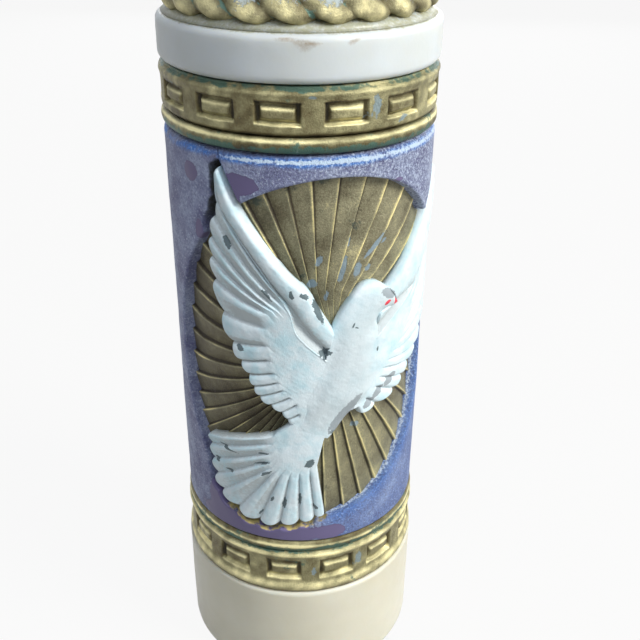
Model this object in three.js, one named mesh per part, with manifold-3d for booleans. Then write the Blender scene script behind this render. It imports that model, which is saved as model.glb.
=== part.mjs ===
// Decorated pillar candle: a plain wax core that carries applied wax ornament. A dove in low relief
// flies over an oval medallion of rays, between two window friezes, under a twisted rope rim.
//
// Frame: millimetres, +Z up, the origin at the centre of the base, the medallion facing -Y.
// A place on the relief is given by its arc at the panel's radius, counted from the front
// towards +X, and by its height above the medallion's centre.

import * as THREE from 'three';
import { mergeVertices } from 'three/addons/utils/BufferGeometryUtils.js';
import Module from 'manifold-3d';

const wasm = await Module();
wasm.setup();

// Driving dimensions
const facets = 42;
const smallFacets = 20;
const roundingSteps = 2;
const clearance = 0.3;

const panelRadius = 30;
const panelHeight = 98.1;
const panelThickness = 3.3;
const panelTopRounding = 2;
const panelBottomRounding = 0.5;

const footProud = 0.6;
const footHeight = 29.4;
const footRounding = 1;
const collarProud = 0.3;
const collarHeight = 9.3;
const collarRounding = 1.6;
const topDish = 0.8;

const beadHeight = 3.1;
const beadProud = 0.3;
const beadRounding = 1.2;

const friezeWindows = 14;
const windowTurn = THREE.MathUtils.degToRad(8.2);
const windowDepth = 0.9;
const windowBevel = 0.3;
const windowWidth = 9.2;
const barWidth = 7.5;
const barBevel = 0.45;
const barDrop = 0.1;

const lowerBandHeight = 12.8;
const lowerBandProud = 0.15;
const lowerRimHeight = 3;
const lowerRimProud = 0.9;
const lowerWindowHeight = 5.8;
const lowerBarHeight = 3.2;
const lowerLipHeight = 1.7;
const lowerLipProud = 0.6;

const upperBandHeight = 9.5;
const upperBandProud = 0.1;
const upperRimHeight = 0.9;
const upperWindowHeight = 4.6;
const upperBarHeight = 3.1;
const upperLipHeight = 1.7;
const upperLipProud = 0.3;
const collarGroove = 0.9;
const collarGrooveHeight = 0.7;

const ropeDiameter = 8.2;
const ropeInset = 1.2;
const ropeTurns = 11;
const strandRadius = 2.7;
const ropeStepsPerTurn = 10;
const ropeSides = 8;

const wickRadius = 1;
const wickStand = 10;
const wickLean = 1.6;
const sustainerRadius = 9.5;
const sustainerThickness = 0.5;
const sustainerRecess = 0.3;
const sustainerNeckHeight = 4;
const sustainerNeckWall = 0.5;

const medallionMargin = 5.4;
const medallionLift = 0.9;
const medallionHalfWidth = 38.7;
const medallionLean = THREE.MathUtils.degToRad(19.7);
const medallionThickness = 1.2;
const chordEase = 0.2;
const rings = 5;
const innerRing = 0.3;
const rays = 46;
const rayDepth = 0.55;
const rayTurn = THREE.MathUtils.degToRad(1);
const raySpread = 0.3;
const raySpreadTowards = THREE.MathUtils.degToRad(65);
const rayMiddle = new THREE.Vector2(3, 5.3);
const rayFocus = new THREE.Vector2(-0.4, 7);
const rayFocusDrift = new THREE.Vector2(10.4, -5);

const armCrown = 2.4;
const armEdge = 1.1;
const channelRise = 0.8;
const channelShare = 0.36;
const covertRise = 1.75;
const covertShare = 1 / 3;
const featherRise = 1.6;
const featherTipRise = 1.9;
const featherTrough = 0.75;
const featherRunOut = 0.6;
const featherBow = 0.03;
const featherTipRound = 0.17;
const featherRows = [covertShare, 0.5, 0.67, 0.85, 1];
const primaryCrest = 0.22;
const secondaryCrest = 0.58;
const bodyEdge = 1.2;
const bodyCrown = 2.4;
const tailRootRise = 1.7;
const tailTipRise = 2.2;
const tailTipRound = 0.22;

// Sizes that follow from them. The faces between points on the cylinder are flat and cut the
// corner, so what lies on another piece stands off by the ease as well as the clearance.
const waistRadius = panelRadius - panelThickness - clearance;
const shellRadius = waistRadius + clearance;
const lowerBandBottom = footHeight + clearance;
const lowerBeadBottom = lowerBandBottom + lowerBandHeight + clearance;
const panelBottom = lowerBeadBottom + beadHeight + clearance;
const upperBeadBottom = panelBottom + panelHeight + clearance;
const upperBandBottom = upperBeadBottom + beadHeight + clearance;
const collarBottom = upperBandBottom + upperBandHeight + clearance;
const collarTop = collarBottom + collarHeight;
const boreRadius = wickRadius + clearance;
const sustainerNeckRadius = boreRadius + sustainerNeckWall;
const recessHeight = sustainerRecess + sustainerThickness + clearance;
const medallionHalfHeight = panelHeight / 2 - medallionMargin;
const medallionCentre = panelBottom + panelHeight / 2 + medallionLift;
const medallionBack = shellRadius + chordEase;
const medallionRadius = shellRadius + medallionThickness;
const seatRadius = medallionRadius + clearance + chordEase / 2;
const outsideRadius = panelRadius * 1.2;

// The dove is drawn in hundredths of the medallion's half height
const drawingUnit = medallionHalfHeight / 100;

const finishes = {
  wax: { color: 0xe9e6d6, roughness: 0.45, metalness: 0 },
  gold: { color: 0x8f7f4a, roughness: 0.5, metalness: 0.6 },
  violet: { color: 0x6f6c8c, roughness: 0.5, metalness: 0.3 },
  white: { color: 0xdfe8ea, roughness: 0.6, metalness: 0 },
  cotton: { color: 0xefe9dc, roughness: 0.95, metalness: 0 },
  tin: { color: 0xb9bbb8, roughness: 0.4, metalness: 0.9 },
};

const candle = new THREE.Group();

function addPiece(name, geometry, finish) {
  const mesh = new THREE.Mesh(geometry, new THREE.MeshStandardMaterial(finishes[finish]));
  mesh.name = name;
  candle.add(mesh);
}

// Six times the volume that the faces enclose: negative where they point inwards.
function signedVolume(position, index) {
  const a = new THREE.Vector3();
  const b = new THREE.Vector3();
  const c = new THREE.Vector3();
  let sum = 0;
  for (let i = 0; i < index.length; i += 3) {
    a.fromBufferAttribute(position, index[i]);
    b.fromBufferAttribute(position, index[i + 1]);
    c.fromBufferAttribute(position, index[i + 2]);
    sum += a.dot(b.cross(c));
  }
  return sum;
}

// Faces turned to point outwards, with shared vertices merged.
function closed(geometry) {
  geometry.deleteAttribute('normal');
  geometry.deleteAttribute('uv');
  const merged = mergeVertices(geometry, 1e-4);
  const index = Array.from(merged.index.array);
  if (signedVolume(merged.attributes.position, index) < 0) index.reverse();
  merged.setIndex(index);
  return merged;
}

function solidFrom(points, faces) {
  const geometry = new THREE.BufferGeometry().setFromPoints(points);
  geometry.setIndex(faces);
  return closed(geometry);
}

function toManifold(geometry) {
  const vertProperties = new Float32Array(geometry.attributes.position.array);
  const triVerts = new Uint32Array(geometry.index.array);
  return new wasm.Manifold(new wasm.Mesh({ numProp: 3, vertProperties, triVerts }));
}

function toGeometry(manifold) {
  const mesh = manifold.getMesh();
  const geometry = new THREE.BufferGeometry();
  const position = new THREE.BufferAttribute(new Float32Array(mesh.vertProperties), 3);
  geometry.setAttribute('position', position);
  geometry.setIndex(Array.from(mesh.triVerts));
  return geometry;
}

function cut(geometry, tools) {
  let solid = toManifold(geometry);
  for (const tool of tools) solid = solid.subtract(toManifold(tool));
  return toGeometry(solid);
}

function join(geometry, additions) {
  let solid = toManifold(geometry);
  for (const addition of additions) solid = solid.add(toManifold(addition));
  return toGeometry(solid);
}

// A closed profile of radius and height, turned about the candle's axis.
function turned(profile, sides = facets) {
  const lathe = new THREE.LatheGeometry([...profile, profile[0]], sides);
  lathe.rotateX(Math.PI / 2);
  return closed(lathe);
}

function at(radius, height) {
  return new THREE.Vector2(radius, height);
}

// A round stretch of a profile, from one angle to another.
function rounding(centre, radius, fromDegrees, toDegrees) {
  const points = [];
  for (let step = 0; step <= roundingSteps; step += 1) {
    const degrees = mix(fromDegrees, toDegrees, step / roundingSteps);
    const angle = THREE.MathUtils.degToRad(degrees);
    points.push(at(centre.x + radius * Math.cos(angle), centre.y + radius * Math.sin(angle)));
  }
  return points;
}

// A place on the candle from its arc at the panel's radius and its height above the base.
function wrap(arc, height, radius) {
  const angle = arc / panelRadius;
  return new THREE.Vector3(radius * Math.sin(angle), -radius * Math.cos(angle), height);
}

// A relief sheet is a grid of places, each with an arc and a rise above the medallion's centre in
// flat, and the height that its front stands above the seat. Its outline is walked once round.
function outlineOf(columns, rows) {
  const loop = [];
  for (let i = 0; i < columns; i += 1) loop.push([i, 0]);
  for (let j = 0; j < rows; j += 1) loop.push([columns, j]);
  for (let i = columns; i > 0; i -= 1) loop.push([i, rows]);
  for (let j = rows; j > 0; j -= 1) loop.push([0, j]);
  return loop;
}

function sheet(columnPlaces, rowPlaces, place) {
  const grid = columnPlaces.map((u) => rowPlaces.map((v) => place(u, v)));
  return { grid, columns: columnPlaces.length - 1, rows: rowPlaces.length - 1 };
}

// The solid between a sheet's front and its back, which are given as radii.
function sheetSolid({ grid, columns, rows }, frontRadius, backRadius) {
  const points = [];
  const faces = [];
  const stride = rows + 1;
  const backStart = (columns + 1) * stride;
  for (const radiusOf of [frontRadius, backRadius]) {
    for (const line of grid) {
      for (const spot of line) {
        points.push(wrap(spot.flat.x, medallionCentre + spot.flat.y, radiusOf(spot)));
      }
    }
  }
  for (let i = 0; i < columns; i += 1) {
    for (let j = 0; j < rows; j += 1) {
      const k = i * stride + j;
      const m = k + backStart;
      faces.push(k, k + stride, k + 1, k + stride, k + stride + 1, k + 1);
      faces.push(m, m + 1, m + stride, m + stride, m + 1, m + stride + 1);
    }
  }
  const loop = outlineOf(columns, rows).map(([i, j]) => i * stride + j);
  loop.forEach((k, n) => {
    const next = loop[(n + 1) % loop.length];
    faces.push(next, k, k + backStart, next, k + backStart, next + backStart);
  });
  return solidFrom(points, faces);
}

function reliefSolid(relief) {
  return sheetSolid(relief, (spot) => seatRadius + spot.height, () => seatRadius);
}

// The space that a relief needs: its outline moved out by the clearance, from behind its seat to
// well in front of it.
function reliefSpace(relief) {
  const { grid, columns, rows } = relief;
  const loop = outlineOf(columns, rows).map(([i, j]) => grid[i][j]);
  const area = THREE.ShapeUtils.area(loop.map((spot) => spot.flat));
  const moved = grid.map((line) => line.map((spot) => ({ ...spot })));
  outlineOf(columns, rows).forEach(([i, j], n, places) => {
    const [beforeI, beforeJ] = places[(n + places.length - 1) % places.length];
    const [afterI, afterJ] = places[(n + 1) % places.length];
    const along = grid[afterI][afterJ].flat.clone().sub(grid[beforeI][beforeJ].flat).normalize();
    const outward = new THREE.Vector2(along.y, -along.x).multiplyScalar(Math.sign(area));
    moved[i][j].flat = grid[i][j].flat.clone().addScaledVector(outward, clearance);
  });
  const behind = seatRadius - clearance;
  return sheetSolid({ grid: moved, columns, rows }, () => outsideRadius, () => behind);
}

function fractions(count) {
  return Array.from({ length: count + 1 }, (_, i) => i / count);
}

function drawn(...numbers) {
  const points = [];
  for (let i = 0; i < numbers.length; i += 2) {
    points.push(new THREE.Vector2(numbers[i], numbers[i + 1]).multiplyScalar(drawingUnit));
  }
  return new THREE.SplineCurve(points);
}

function mix(from, to, share) {
  return from + (to - from) * share;
}

// Core, wick and sustainer

function waxCore() {
  const footRadius = panelRadius + footProud;
  const collarRadius = panelRadius + collarProud;
  const neckRadius = sustainerNeckRadius + clearance;
  const neckTop = recessHeight + sustainerNeckHeight;
  const recessRadius = sustainerRadius + clearance;
  const footCorner = at(footRadius - footRounding, footRounding);
  const lowCorner = at(collarRadius - collarRounding, collarBottom + collarRounding);
  const highCorner = at(collarRadius - collarRounding, collarTop - collarRounding);
  return turned([
    at(boreRadius, neckTop),
    at(neckRadius, neckTop),
    at(neckRadius, recessHeight),
    at(recessRadius, recessHeight),
    at(recessRadius, 0),
    ...rounding(footCorner, footRounding, -90, 0),
    at(footRadius, footHeight),
    at(waistRadius, footHeight),
    at(waistRadius, collarBottom),
    ...rounding(lowCorner, collarRounding, -90, 0),
    ...rounding(highCorner, collarRounding, 0, 90),
    at(boreRadius, collarTop - topDish),
  ]);
}

// The wick stands straight in its bore and leans a little above the wax.
function wick() {
  const start = sustainerRecess + clearance;
  const path = new THREE.CatmullRomCurve3([
    new THREE.Vector3(0, 0, start),
    new THREE.Vector3(0, 0, collarTop / 2),
    new THREE.Vector3(0, 0, collarTop),
    new THREE.Vector3(wickLean * 0.35, 0, collarTop + wickStand * 0.55),
    new THREE.Vector3(wickLean, 0, collarTop + wickStand),
  ]);
  const section = new THREE.Shape(fractions(8).slice(1).map((turn) => {
    const angle = turn * Math.PI * 2;
    return at(wickRadius * Math.cos(angle), wickRadius * Math.sin(angle));
  }));
  const tube = new THREE.ExtrudeGeometry(section, { extrudePath: path, steps: 18 });
  return closed(tube);
}

// A pressed disc with a crimped neck that holds the wick's lower end.
function wickSustainer() {
  const top = sustainerRecess + sustainerThickness;
  return turned([
    at(boreRadius, sustainerRecess),
    at(sustainerRadius, sustainerRecess),
    at(sustainerRadius, top),
    at(sustainerNeckRadius, top),
    at(sustainerNeckRadius, top + sustainerNeckHeight),
    at(boreRadius, top + sustainerNeckHeight),
  ], smallFacets);
}

// Rope rim: one cast ring whose section is two touching strands, turned as it goes round.
function ropeRing() {
  const steps = ropeTurns * ropeStepsPerTurn;
  const ringRadius = panelRadius - ropeInset - ropeDiameter / 2;
  const strandOffset = ropeDiameter / 2 - strandRadius;
  const centreHeight = collarTop + clearance + ropeDiameter / 2;
  const points = [];
  const faces = [];
  for (let step = 0; step < steps; step += 1) {
    const around = (step / steps) * Math.PI * 2;
    const twist = -ropeTurns * around;
    for (let side = 0; side < ropeSides; side += 1) {
      const angle = twist + (side / ropeSides) * Math.PI * 2;
      const along = strandOffset * Math.abs(Math.cos(angle - twist));
      const beside = strandOffset * Math.sin(angle - twist);
      const reach = along + Math.sqrt(strandRadius ** 2 - beside ** 2);
      const radius = ringRadius + reach * Math.cos(angle);
      const height = centreHeight + reach * Math.sin(angle);
      points.push(new THREE.Vector3(radius * Math.sin(around), -radius * Math.cos(around), height));
      const next = ((step + 1) % steps) * ropeSides;
      const here = step * ropeSides;
      const beyond = (side + 1) % ropeSides;
      faces.push(here + side, next + side, next + beyond);
      faces.push(here + side, next + beyond, here + beyond);
    }
  }
  return solidFrom(points, faces);
}

// Beads and friezes

function bead(bottom) {
  const outer = panelRadius + beadProud;
  const low = at(outer - beadRounding, bottom + beadRounding);
  const high = at(outer - beadRounding, bottom + beadHeight - beadRounding);
  return turned([
    at(shellRadius, bottom),
    ...rounding(low, beadRounding, -75, 0),
    ...rounding(high, beadRounding, 0, 75),
    at(shellRadius, bottom + beadHeight),
  ]);
}

// A block with sloping sides that faces outwards, narrower at one radius than at the other.
function facingBlock(angle, middle, inner, outer) {
  const points = [];
  for (const face of [inner, outer]) {
    const corners = [[-0.5, -0.5], [0.5, -0.5], [0.5, 0.5], [-0.5, 0.5]];
    for (const [side, rise] of corners) {
      const turn = angle + (side * face.width) / panelRadius;
      const height = middle + rise * face.height;
      points.push(new THREE.Vector3(face.radius * Math.sin(turn), -face.radius * Math.cos(turn), height));
    }
  }
  const faces = [0, 2, 1, 0, 3, 2, 4, 5, 6, 4, 6, 7];
  for (let k = 0; k < 4; k += 1) {
    const next = (k + 1) % 4;
    faces.push(k, next, next + 4, k, next + 4, k + 4);
  }
  return solidFrom(points, faces);
}

// Sunk windows, evenly spaced, each with a raised bar on its floor. A window's block is as deep in
// front of the face as behind it, so its sides keep their slope and no skin is left across it.
function withWindows(band, middle, faceRadius, windowHeight, barHeight) {
  const floorRadius = faceRadius - windowDepth;
  const slope = 2 * windowBevel;
  const openings = [];
  const bars = [];
  for (let k = 0; k < friezeWindows; k += 1) {
    const angle = windowTurn + (k / friezeWindows) * Math.PI * 2;
    openings.push(facingBlock(
      angle,
      middle,
      { radius: floorRadius, width: windowWidth - slope, height: windowHeight - slope },
      { radius: faceRadius + windowDepth, width: windowWidth + slope, height: windowHeight + slope },
    ));
    bars.push(facingBlock(
      angle,
      middle,
      { radius: floorRadius - clearance, width: barWidth, height: barHeight },
      { radius: faceRadius - barDrop, width: barWidth - 2 * barBevel, height: barHeight - 2 * barBevel },
    ));
  }
  return join(cut(band, openings), bars);
}

// The lower frieze: a heavy rim on the foot, the windows, and a lip below the bead.
function lowerKeyBand() {
  const bottom = lowerBandBottom;
  const top = bottom + lowerBandHeight;
  const face = panelRadius + lowerBandProud;
  const rim = panelRadius + lowerRimProud;
  const lip = panelRadius + lowerLipProud;
  const faceBottom = bottom + lowerRimHeight;
  const faceTop = top - lowerLipHeight;
  const band = turned([
    at(shellRadius, bottom),
    at(rim - lowerRimProud / 2, bottom),
    at(rim, bottom + lowerRimHeight * 0.3),
    at(rim, bottom + lowerRimHeight * 0.6),
    at(face, faceBottom),
    at(face, faceTop),
    at(lip, faceTop + lowerLipHeight * 0.3),
    at(lip, faceTop + lowerLipHeight * 0.6),
    at(panelRadius - lowerLipProud, top),
    at(shellRadius, top),
  ]);
  return withWindows(band, (faceBottom + faceTop) / 2, face, lowerWindowHeight, lowerBarHeight);
}

// The upper frieze: a soft lower edge, the windows, a shoulder and the groove under the collar.
function upperKeyBand() {
  const bottom = upperBandBottom;
  const top = bottom + upperBandHeight;
  const face = panelRadius + upperBandProud;
  const lip = panelRadius + upperLipProud;
  const faceBottom = bottom + upperRimHeight;
  const lipTop = top - collarGrooveHeight;
  const lipBottom = lipTop - upperLipHeight;
  const band = turned([
    at(shellRadius, bottom),
    at(face - upperRimHeight / 2, bottom),
    at(face, faceBottom),
    at(face, lipBottom),
    at(lip, lipBottom + upperLipHeight * 0.3),
    at(lip, lipTop - upperLipHeight * 0.3),
    at(panelRadius - collarGroove, lipTop),
    at(panelRadius - collarGroove, top),
    at(shellRadius, top),
  ]);
  return withWindows(band, (faceBottom + lipBottom) / 2, face, upperWindowHeight, upperBarHeight);
}

// Medallion and panel

// A point of the leaning ellipse, grown by a margin, at a share of the way out from its middle.
function medallionPoint(x, y, margin) {
  const point = at(x * (medallionHalfWidth + margin), y * (medallionHalfHeight + margin));
  return point.rotateAround(new THREE.Vector2(0, 0), -medallionLean);
}

// The whole oval as a block, from a grid that maps a square onto a disc.
function medallionOpening() {
  const places = fractions(12).map((share) => mix(-1, 1, share));
  const disc = sheet(places, places, (u, v) => {
    const x = u * Math.sqrt(1 - (v * v) / 2);
    const y = v * Math.sqrt(1 - (u * u) / 2);
    return { flat: medallionPoint(x, y, 0) };
  });
  return sheetSolid(disc, () => outsideRadius, () => waistRadius - clearance);
}

// Distance from a place to the oval's edge in one direction, found on the unit circle that the
// oval becomes when it is turned upright and each axis divided by its half length.
function edgeDistance(place, direction, margin) {
  const origin = new THREE.Vector2(0, 0);
  const halves = at(medallionHalfWidth + margin, medallionHalfHeight + margin);
  const from = place.clone().rotateAround(origin, medallionLean).divide(halves);
  const way = direction.clone().rotateAround(origin, medallionLean).divide(halves);
  const a = way.dot(way);
  const b = from.dot(way);
  const c = from.dot(from) - 1;
  return (-b + Math.sqrt(b * b - a * c)) / a;
}

// The modeller's rays don't meet at one point. They are spread wider to the upper right, and the
// more a ray points left, the further right its line starts.
function raySpoke(share) {
  const evenly = rayTurn + share * Math.PI * 2;
  const angle = evenly + raySpread * Math.sin(evenly - raySpreadTowards);
  const direction = at(Math.cos(angle), Math.sin(angle));
  const drift = Math.max(0, -direction.x) ** 2;
  const focus = rayFocus.clone().addScaledVector(rayFocusDrift, drift);
  return { focus, direction, reach: edgeDistance(focus, direction, -clearance) };
}

// Pleated rays: each slat slopes from its high edge down to the foot of the next one.
function rayMedallion() {
  const ringShares = fractions(rings - 1).map((share) => mix(innerRing, 1, share));
  const stepShare = 0.1 / rays;
  const points = [];
  const faces = [];
  const spokes = [];
  for (let k = 0; k < rays; k += 1) {
    spokes.push({ ...raySpoke(k / rays), sunk: 0 });
    spokes.push({ ...raySpoke((k + 1) / rays - stepShare), sunk: rayDepth });
  }
  const middle = wrap(rayMiddle.x, medallionCentre + rayMiddle.y, medallionRadius);
  const middleBack = wrap(rayMiddle.x, medallionCentre + rayMiddle.y, medallionBack);
  points.push(middle, middleBack);
  for (const { focus, direction, reach, sunk } of spokes) {
    for (const share of ringShares) {
      const flat = focus.clone().addScaledVector(direction, reach * share);
      const height = medallionCentre + flat.y;
      points.push(wrap(flat.x, height, medallionRadius - sunk));
      points.push(wrap(flat.x, height, medallionBack));
    }
  }
  const count = spokes.length;
  for (let s = 0; s < count; s += 1) {
    const here = 2 + s * rings * 2;
    const next = 2 + ((s + 1) % count) * rings * 2;
    faces.push(0, here, next, 1, next + 1, here + 1);
    for (let r = 0; r < rings - 1; r += 1) {
      const h = here + r * 2;
      const n = next + r * 2;
      faces.push(h, h + 2, n, n, h + 2, n + 2);
      faces.push(h + 1, n + 1, h + 3, n + 1, n + 3, h + 3);
    }
    const h = here + (rings - 1) * 2;
    const n = next + (rings - 1) * 2;
    faces.push(h, h + 1, n, n, h + 1, n + 1);
  }
  return solidFrom(points, faces);
}

function panelSleeve(spaces) {
  const top = panelBottom + panelHeight;
  const low = at(panelRadius - panelBottomRounding, panelBottom + panelBottomRounding);
  const high = at(panelRadius - panelTopRounding, top - panelTopRounding);
  const tube = turned([
    at(shellRadius, panelBottom),
    ...rounding(low, panelBottomRounding, -90, 0),
    ...rounding(high, panelTopRounding, 0, 90),
    at(shellRadius, top),
  ]);
  return cut(tube, [medallionOpening(), ...spaces]);
}

// The dove

// A limb between two edge curves, with its front raised by a profile across it.
function limbSheet(firstEdge, secondEdge, steps, across, heightAt) {
  return sheet(across, fractions(steps), (u, v) => {
    const flat = firstEdge.getPoint(v).lerp(secondEdge.getPoint(v), u);
    return { flat, height: heightAt(u, v) };
  });
}

// Body and head in one, from the tail's root to the beak.
function bodySheet() {
  const back = drawn(
    -14.7, -38, -10.5, -23.4, -4.4, -9.6, 1.4, 4.1, 4.1, 17.9,
    10.3, 30.5, 19.7, 41.2, 29.1, 42.8, 38.3, 36.9, 45.4, 27.3,
  );
  const breast = drawn(
    3.2, -44, 14.7, -31.8, 26.1, -22.9, 31.2, -11.9, 31.2, 3,
    30.5, 17.9, 33, 23.8, 38, 25.2, 42.2, 25, 44.9, 25.7,
  );
  const across = [0, 0.12, 0.3, 0.5, 0.7, 0.88, 1];
  return limbSheet(back, breast, 18, across, (u, v) => {
    const round = Math.sqrt(1 - (2 * u - 1) ** 2);
    const taper = Math.min(1, (1 - v) * 6, v * 4 + 0.6);
    return mix(bodyEdge, bodyCrown, round * taper);
  });
}

// An arm runs along a wing's leading edge: a round limb, with a channel behind it.
function armSheet(leading, trailing) {
  const limb = mix(channelShare, 1, 0.12);
  const across = [0, channelShare, limb, mix(channelShare, 1, 0.5), mix(channelShare, 1, 0.85), 1];
  return limbSheet(trailing, leading, 12, across, (u) => {
    if (u < limb) return channelRise;
    const place = (u - channelShare) / (1 - channelShare);
    return mix(armEdge, armCrown, Math.sqrt(Math.max(0, 1 - (2 * place - 1) ** 2)));
  });
}

// A fan of feathers. Each line runs straight from the root over smooth coverts to where its
// feather starts, and on from there with a slight bow to the tip. Tips are rounded by a share of
// their own width. A feather rises steeply from the one before it to its crest, which moves from
// the feather's edge to its middle between two places in the fan, and falls gently to the next.
function fanSheet({ root, start, tip, feathers, crestFrom, crestTo, bow, rowPlaces, tipRound, rises }) {
  const columnPlaces = [];
  const crestOf = (k) => {
    return mix(primaryCrest, secondaryCrest, THREE.MathUtils.smoothstep(k / feathers, crestFrom, crestTo));
  };
  for (let k = 0; k < feathers; k += 1) {
    const crest = crestOf(k);
    for (const share of [0, crest, mix(crest, 1, 0.5)]) columnPlaces.push((k + share) / feathers);
  }
  columnPlaces.push(1);
  return sheet(columnPlaces, rowPlaces, (u, v) => {
    const feather = Math.min(feathers - 1, Math.floor(u * feathers + 1e-6));
    const share = THREE.MathUtils.clamp(u * feathers - feather, 0, 1);
    const from = start.getPoint(u);
    const to = tip.getPoint(u);
    if (v <= covertShare) {
      const flat = root.getPoint(u).lerp(from, v / covertShare);
      return { flat, height: mix(rises.root, rises.tip, v) };
    }
    const along = (v - covertShare) / (1 - covertShare);
    const width = tip.getPoint(feather / feathers).distanceTo(tip.getPoint((feather + 1) / feathers));
    const way = to.clone().sub(from);
    const side = new THREE.Vector2(-way.y, way.x).multiplyScalar(bow * 4 * along * (1 - along));
    const round = tipRound * width * 4 * share * (1 - share) * along;
    const flat = from.addScaledVector(way, along).add(side).addScaledVector(way.normalize(), round);
    const crest = crestOf(feather);
    const away = share < crest ? 1 - share / crest : (share - crest) / (1 - crest);
    const run = THREE.MathUtils.smoothstep(v, covertShare, featherRunOut);
    return { flat, height: mix(rises.root, rises.tip, v) - featherTrough * away * run };
  });
}

function leftArmSheet() {
  const leading = drawn(
    6.4, 19.7, -1.8, 33, -7.6, 43.1, -18.1, 52.5,
    -34.1, 72.2, -44, 86.4, -51.3, 101.7,
  );
  const trailing = drawn(
    4.1, 0.9, -12.6, 17.9, -17.4, 32.3, -29.8, 51.8,
    -42.6, 69.6, -52.5, 83.8, -53.6, 99.9,
  );
  return armSheet(leading, trailing);
}

function leftWingSheet() {
  return fanSheet({
    root: drawn(9.2, 6.9, 2.7, -10.3, -2.7, -21.8, -7.3, -31.2),
    start: drawn(
      -16.7, 34.8, -22, 32.1, -27.5, 29.8, -27.9, 11.9,
      -24.5, -3.9, -19.9, -13.5, -12.8, -22, -10.1, -32.5,
    ),
    tip: drawn(
      -52.7, 84.8, -59.1, 65.1, -57.7, 42.6, -48.1, 9.9,
      -38.9, -6.9, -33.2, -19.2, -21.5, -27.7, -16.5, -35.1,
    ),
    feathers: 14,
    crestFrom: 0.2,
    crestTo: 0.5,
    bow: featherBow,
    rowPlaces: [0, 0.18, ...featherRows],
    tipRound: featherTipRound,
    rises: { root: covertRise, tip: featherRise },
  });
}

function rightArmSheet() {
  const leading = drawn(
    33.2, 34.4, 42.4, 41.2, 51.5, 48.1, 63.7, 58.4,
    75.6, 67.6, 85.9, 76.7, 93, 87.1,
  );
  const trailing = drawn(
    29.8, 10.5, 44.2, 20.8, 52.9, 25.7, 61.4, 31.4,
    76.5, 47, 88, 64.1, 95.3, 83.8,
  );
  return armSheet(leading, trailing);
}

function rightWingSheet() {
  return fanSheet({
    root: drawn(25.2, 9.2, 24.3, -9.2, 17.4, -22.9, 10.5, -29.8),
    start: drawn(
      51.8, 28.4, 58.2, 19.2, 52.2, 6.9, 42.4, -1.8,
      35.5, -9.2, 29.8, -18.3, 19.7, -27.9,
    ),
    tip: drawn(
      91.6, 79.3, 99.9, 56.8, 94.8, 27.5, 78.4, -0.5,
      60, -14.7, 45.8, -25.9, 21.1, -32.5,
    ),
    feathers: 12,
    crestFrom: 0.2,
    crestTo: 0.5,
    bow: -featherBow,
    rowPlaces: [0, 0.18, ...featherRows],
    tipRound: featherTipRound,
    rises: { root: covertRise, tip: featherTipRise },
  });
}

function tailSheet() {
  return fanSheet({
    root: drawn(-10.5, -30.7, -4.1, -34.4, 2.7, -36.7),
    start: drawn(
      -26.1, -42.6, -27.5, -54.5, -27.3, -63.7,
      -21.5, -66.9, -11.9, -66.4, -2.1, -61.9,
    ),
    tip: drawn(
      -68.5, -55, -66, -70.6, -59.6, -89.8,
      -35.1, -101.7, -11.9, -99.4, 2.5, -95.1,
    ),
    feathers: 10,
    crestFrom: 0.4,
    crestTo: 0.65,
    bow: 0,
    rowPlaces: [0, ...featherRows],
    tipRound: tailTipRound,
    rises: { root: tailRootRise, tip: tailTipRise },
  });
}

const body = bodySheet();
const leftArm = leftArmSheet();
const leftWing = leftWingSheet();
const rightArm = rightArmSheet();
const rightWing = rightWingSheet();
const tail = tailSheet();
const bodySpace = reliefSpace(body);
const leftArmSpace = reliefSpace(leftArm);
const rightArmSpace = reliefSpace(rightArm);
const wingSpaces = [reliefSpace(leftWing), reliefSpace(rightWing)];
const tailSpace = reliefSpace(tail);

addPiece('wax_core', waxCore(), 'wax');
addPiece('wick', wick(), 'cotton');
addPiece('wick_sustainer', wickSustainer(), 'tin');
addPiece('rope_ring', ropeRing(), 'gold');
addPiece('upper_key_band', upperKeyBand(), 'gold');
addPiece('upper_bead', bead(upperBeadBottom), 'gold');
addPiece('panel_sleeve', panelSleeve([leftArmSpace, rightArmSpace, ...wingSpaces, tailSpace]), 'violet');
addPiece('ray_medallion', rayMedallion(), 'gold');
addPiece('dove_body', reliefSolid(body), 'white');
addPiece('dove_left_arm', cut(reliefSolid(leftArm), [bodySpace]), 'white');
addPiece('dove_left_wing', cut(reliefSolid(leftWing), [bodySpace, leftArmSpace]), 'white');
addPiece('dove_right_arm', cut(reliefSolid(rightArm), [bodySpace]), 'white');
addPiece('dove_right_wing', cut(reliefSolid(rightWing), [bodySpace, rightArmSpace]), 'white');
addPiece('dove_tail', cut(reliefSolid(tail), [bodySpace, ...wingSpaces]), 'white');
addPiece('lower_bead', bead(lowerBeadBottom), 'gold');
addPiece('lower_key_band', lowerKeyBand(), 'gold');

export default candle;
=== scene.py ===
"""Looks for a decorated pillar candle: a dove in low relief over an oval of rays.

The candle stands in its own frame: +Z up, the base's centre at the origin and the oval medallion
facing -Y. Sizes are in millimetres, and they turn to metres when a mesh is made. A place on the
relief is given by its arc at the panel's radius, counted from the front towards +X, and by its
rise above the medallion's centre. The dove is drawn in hundredths of the medallion's half height,
and marks on the paint are in millimetres of arc and rise.
"""

import logging
import math
from dataclasses import dataclass, field
from enum import StrEnum
from typing import Any, Callable, Mapping, Sequence

import bpy
import numpy as np
from mathutils import Matrix, Vector


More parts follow.
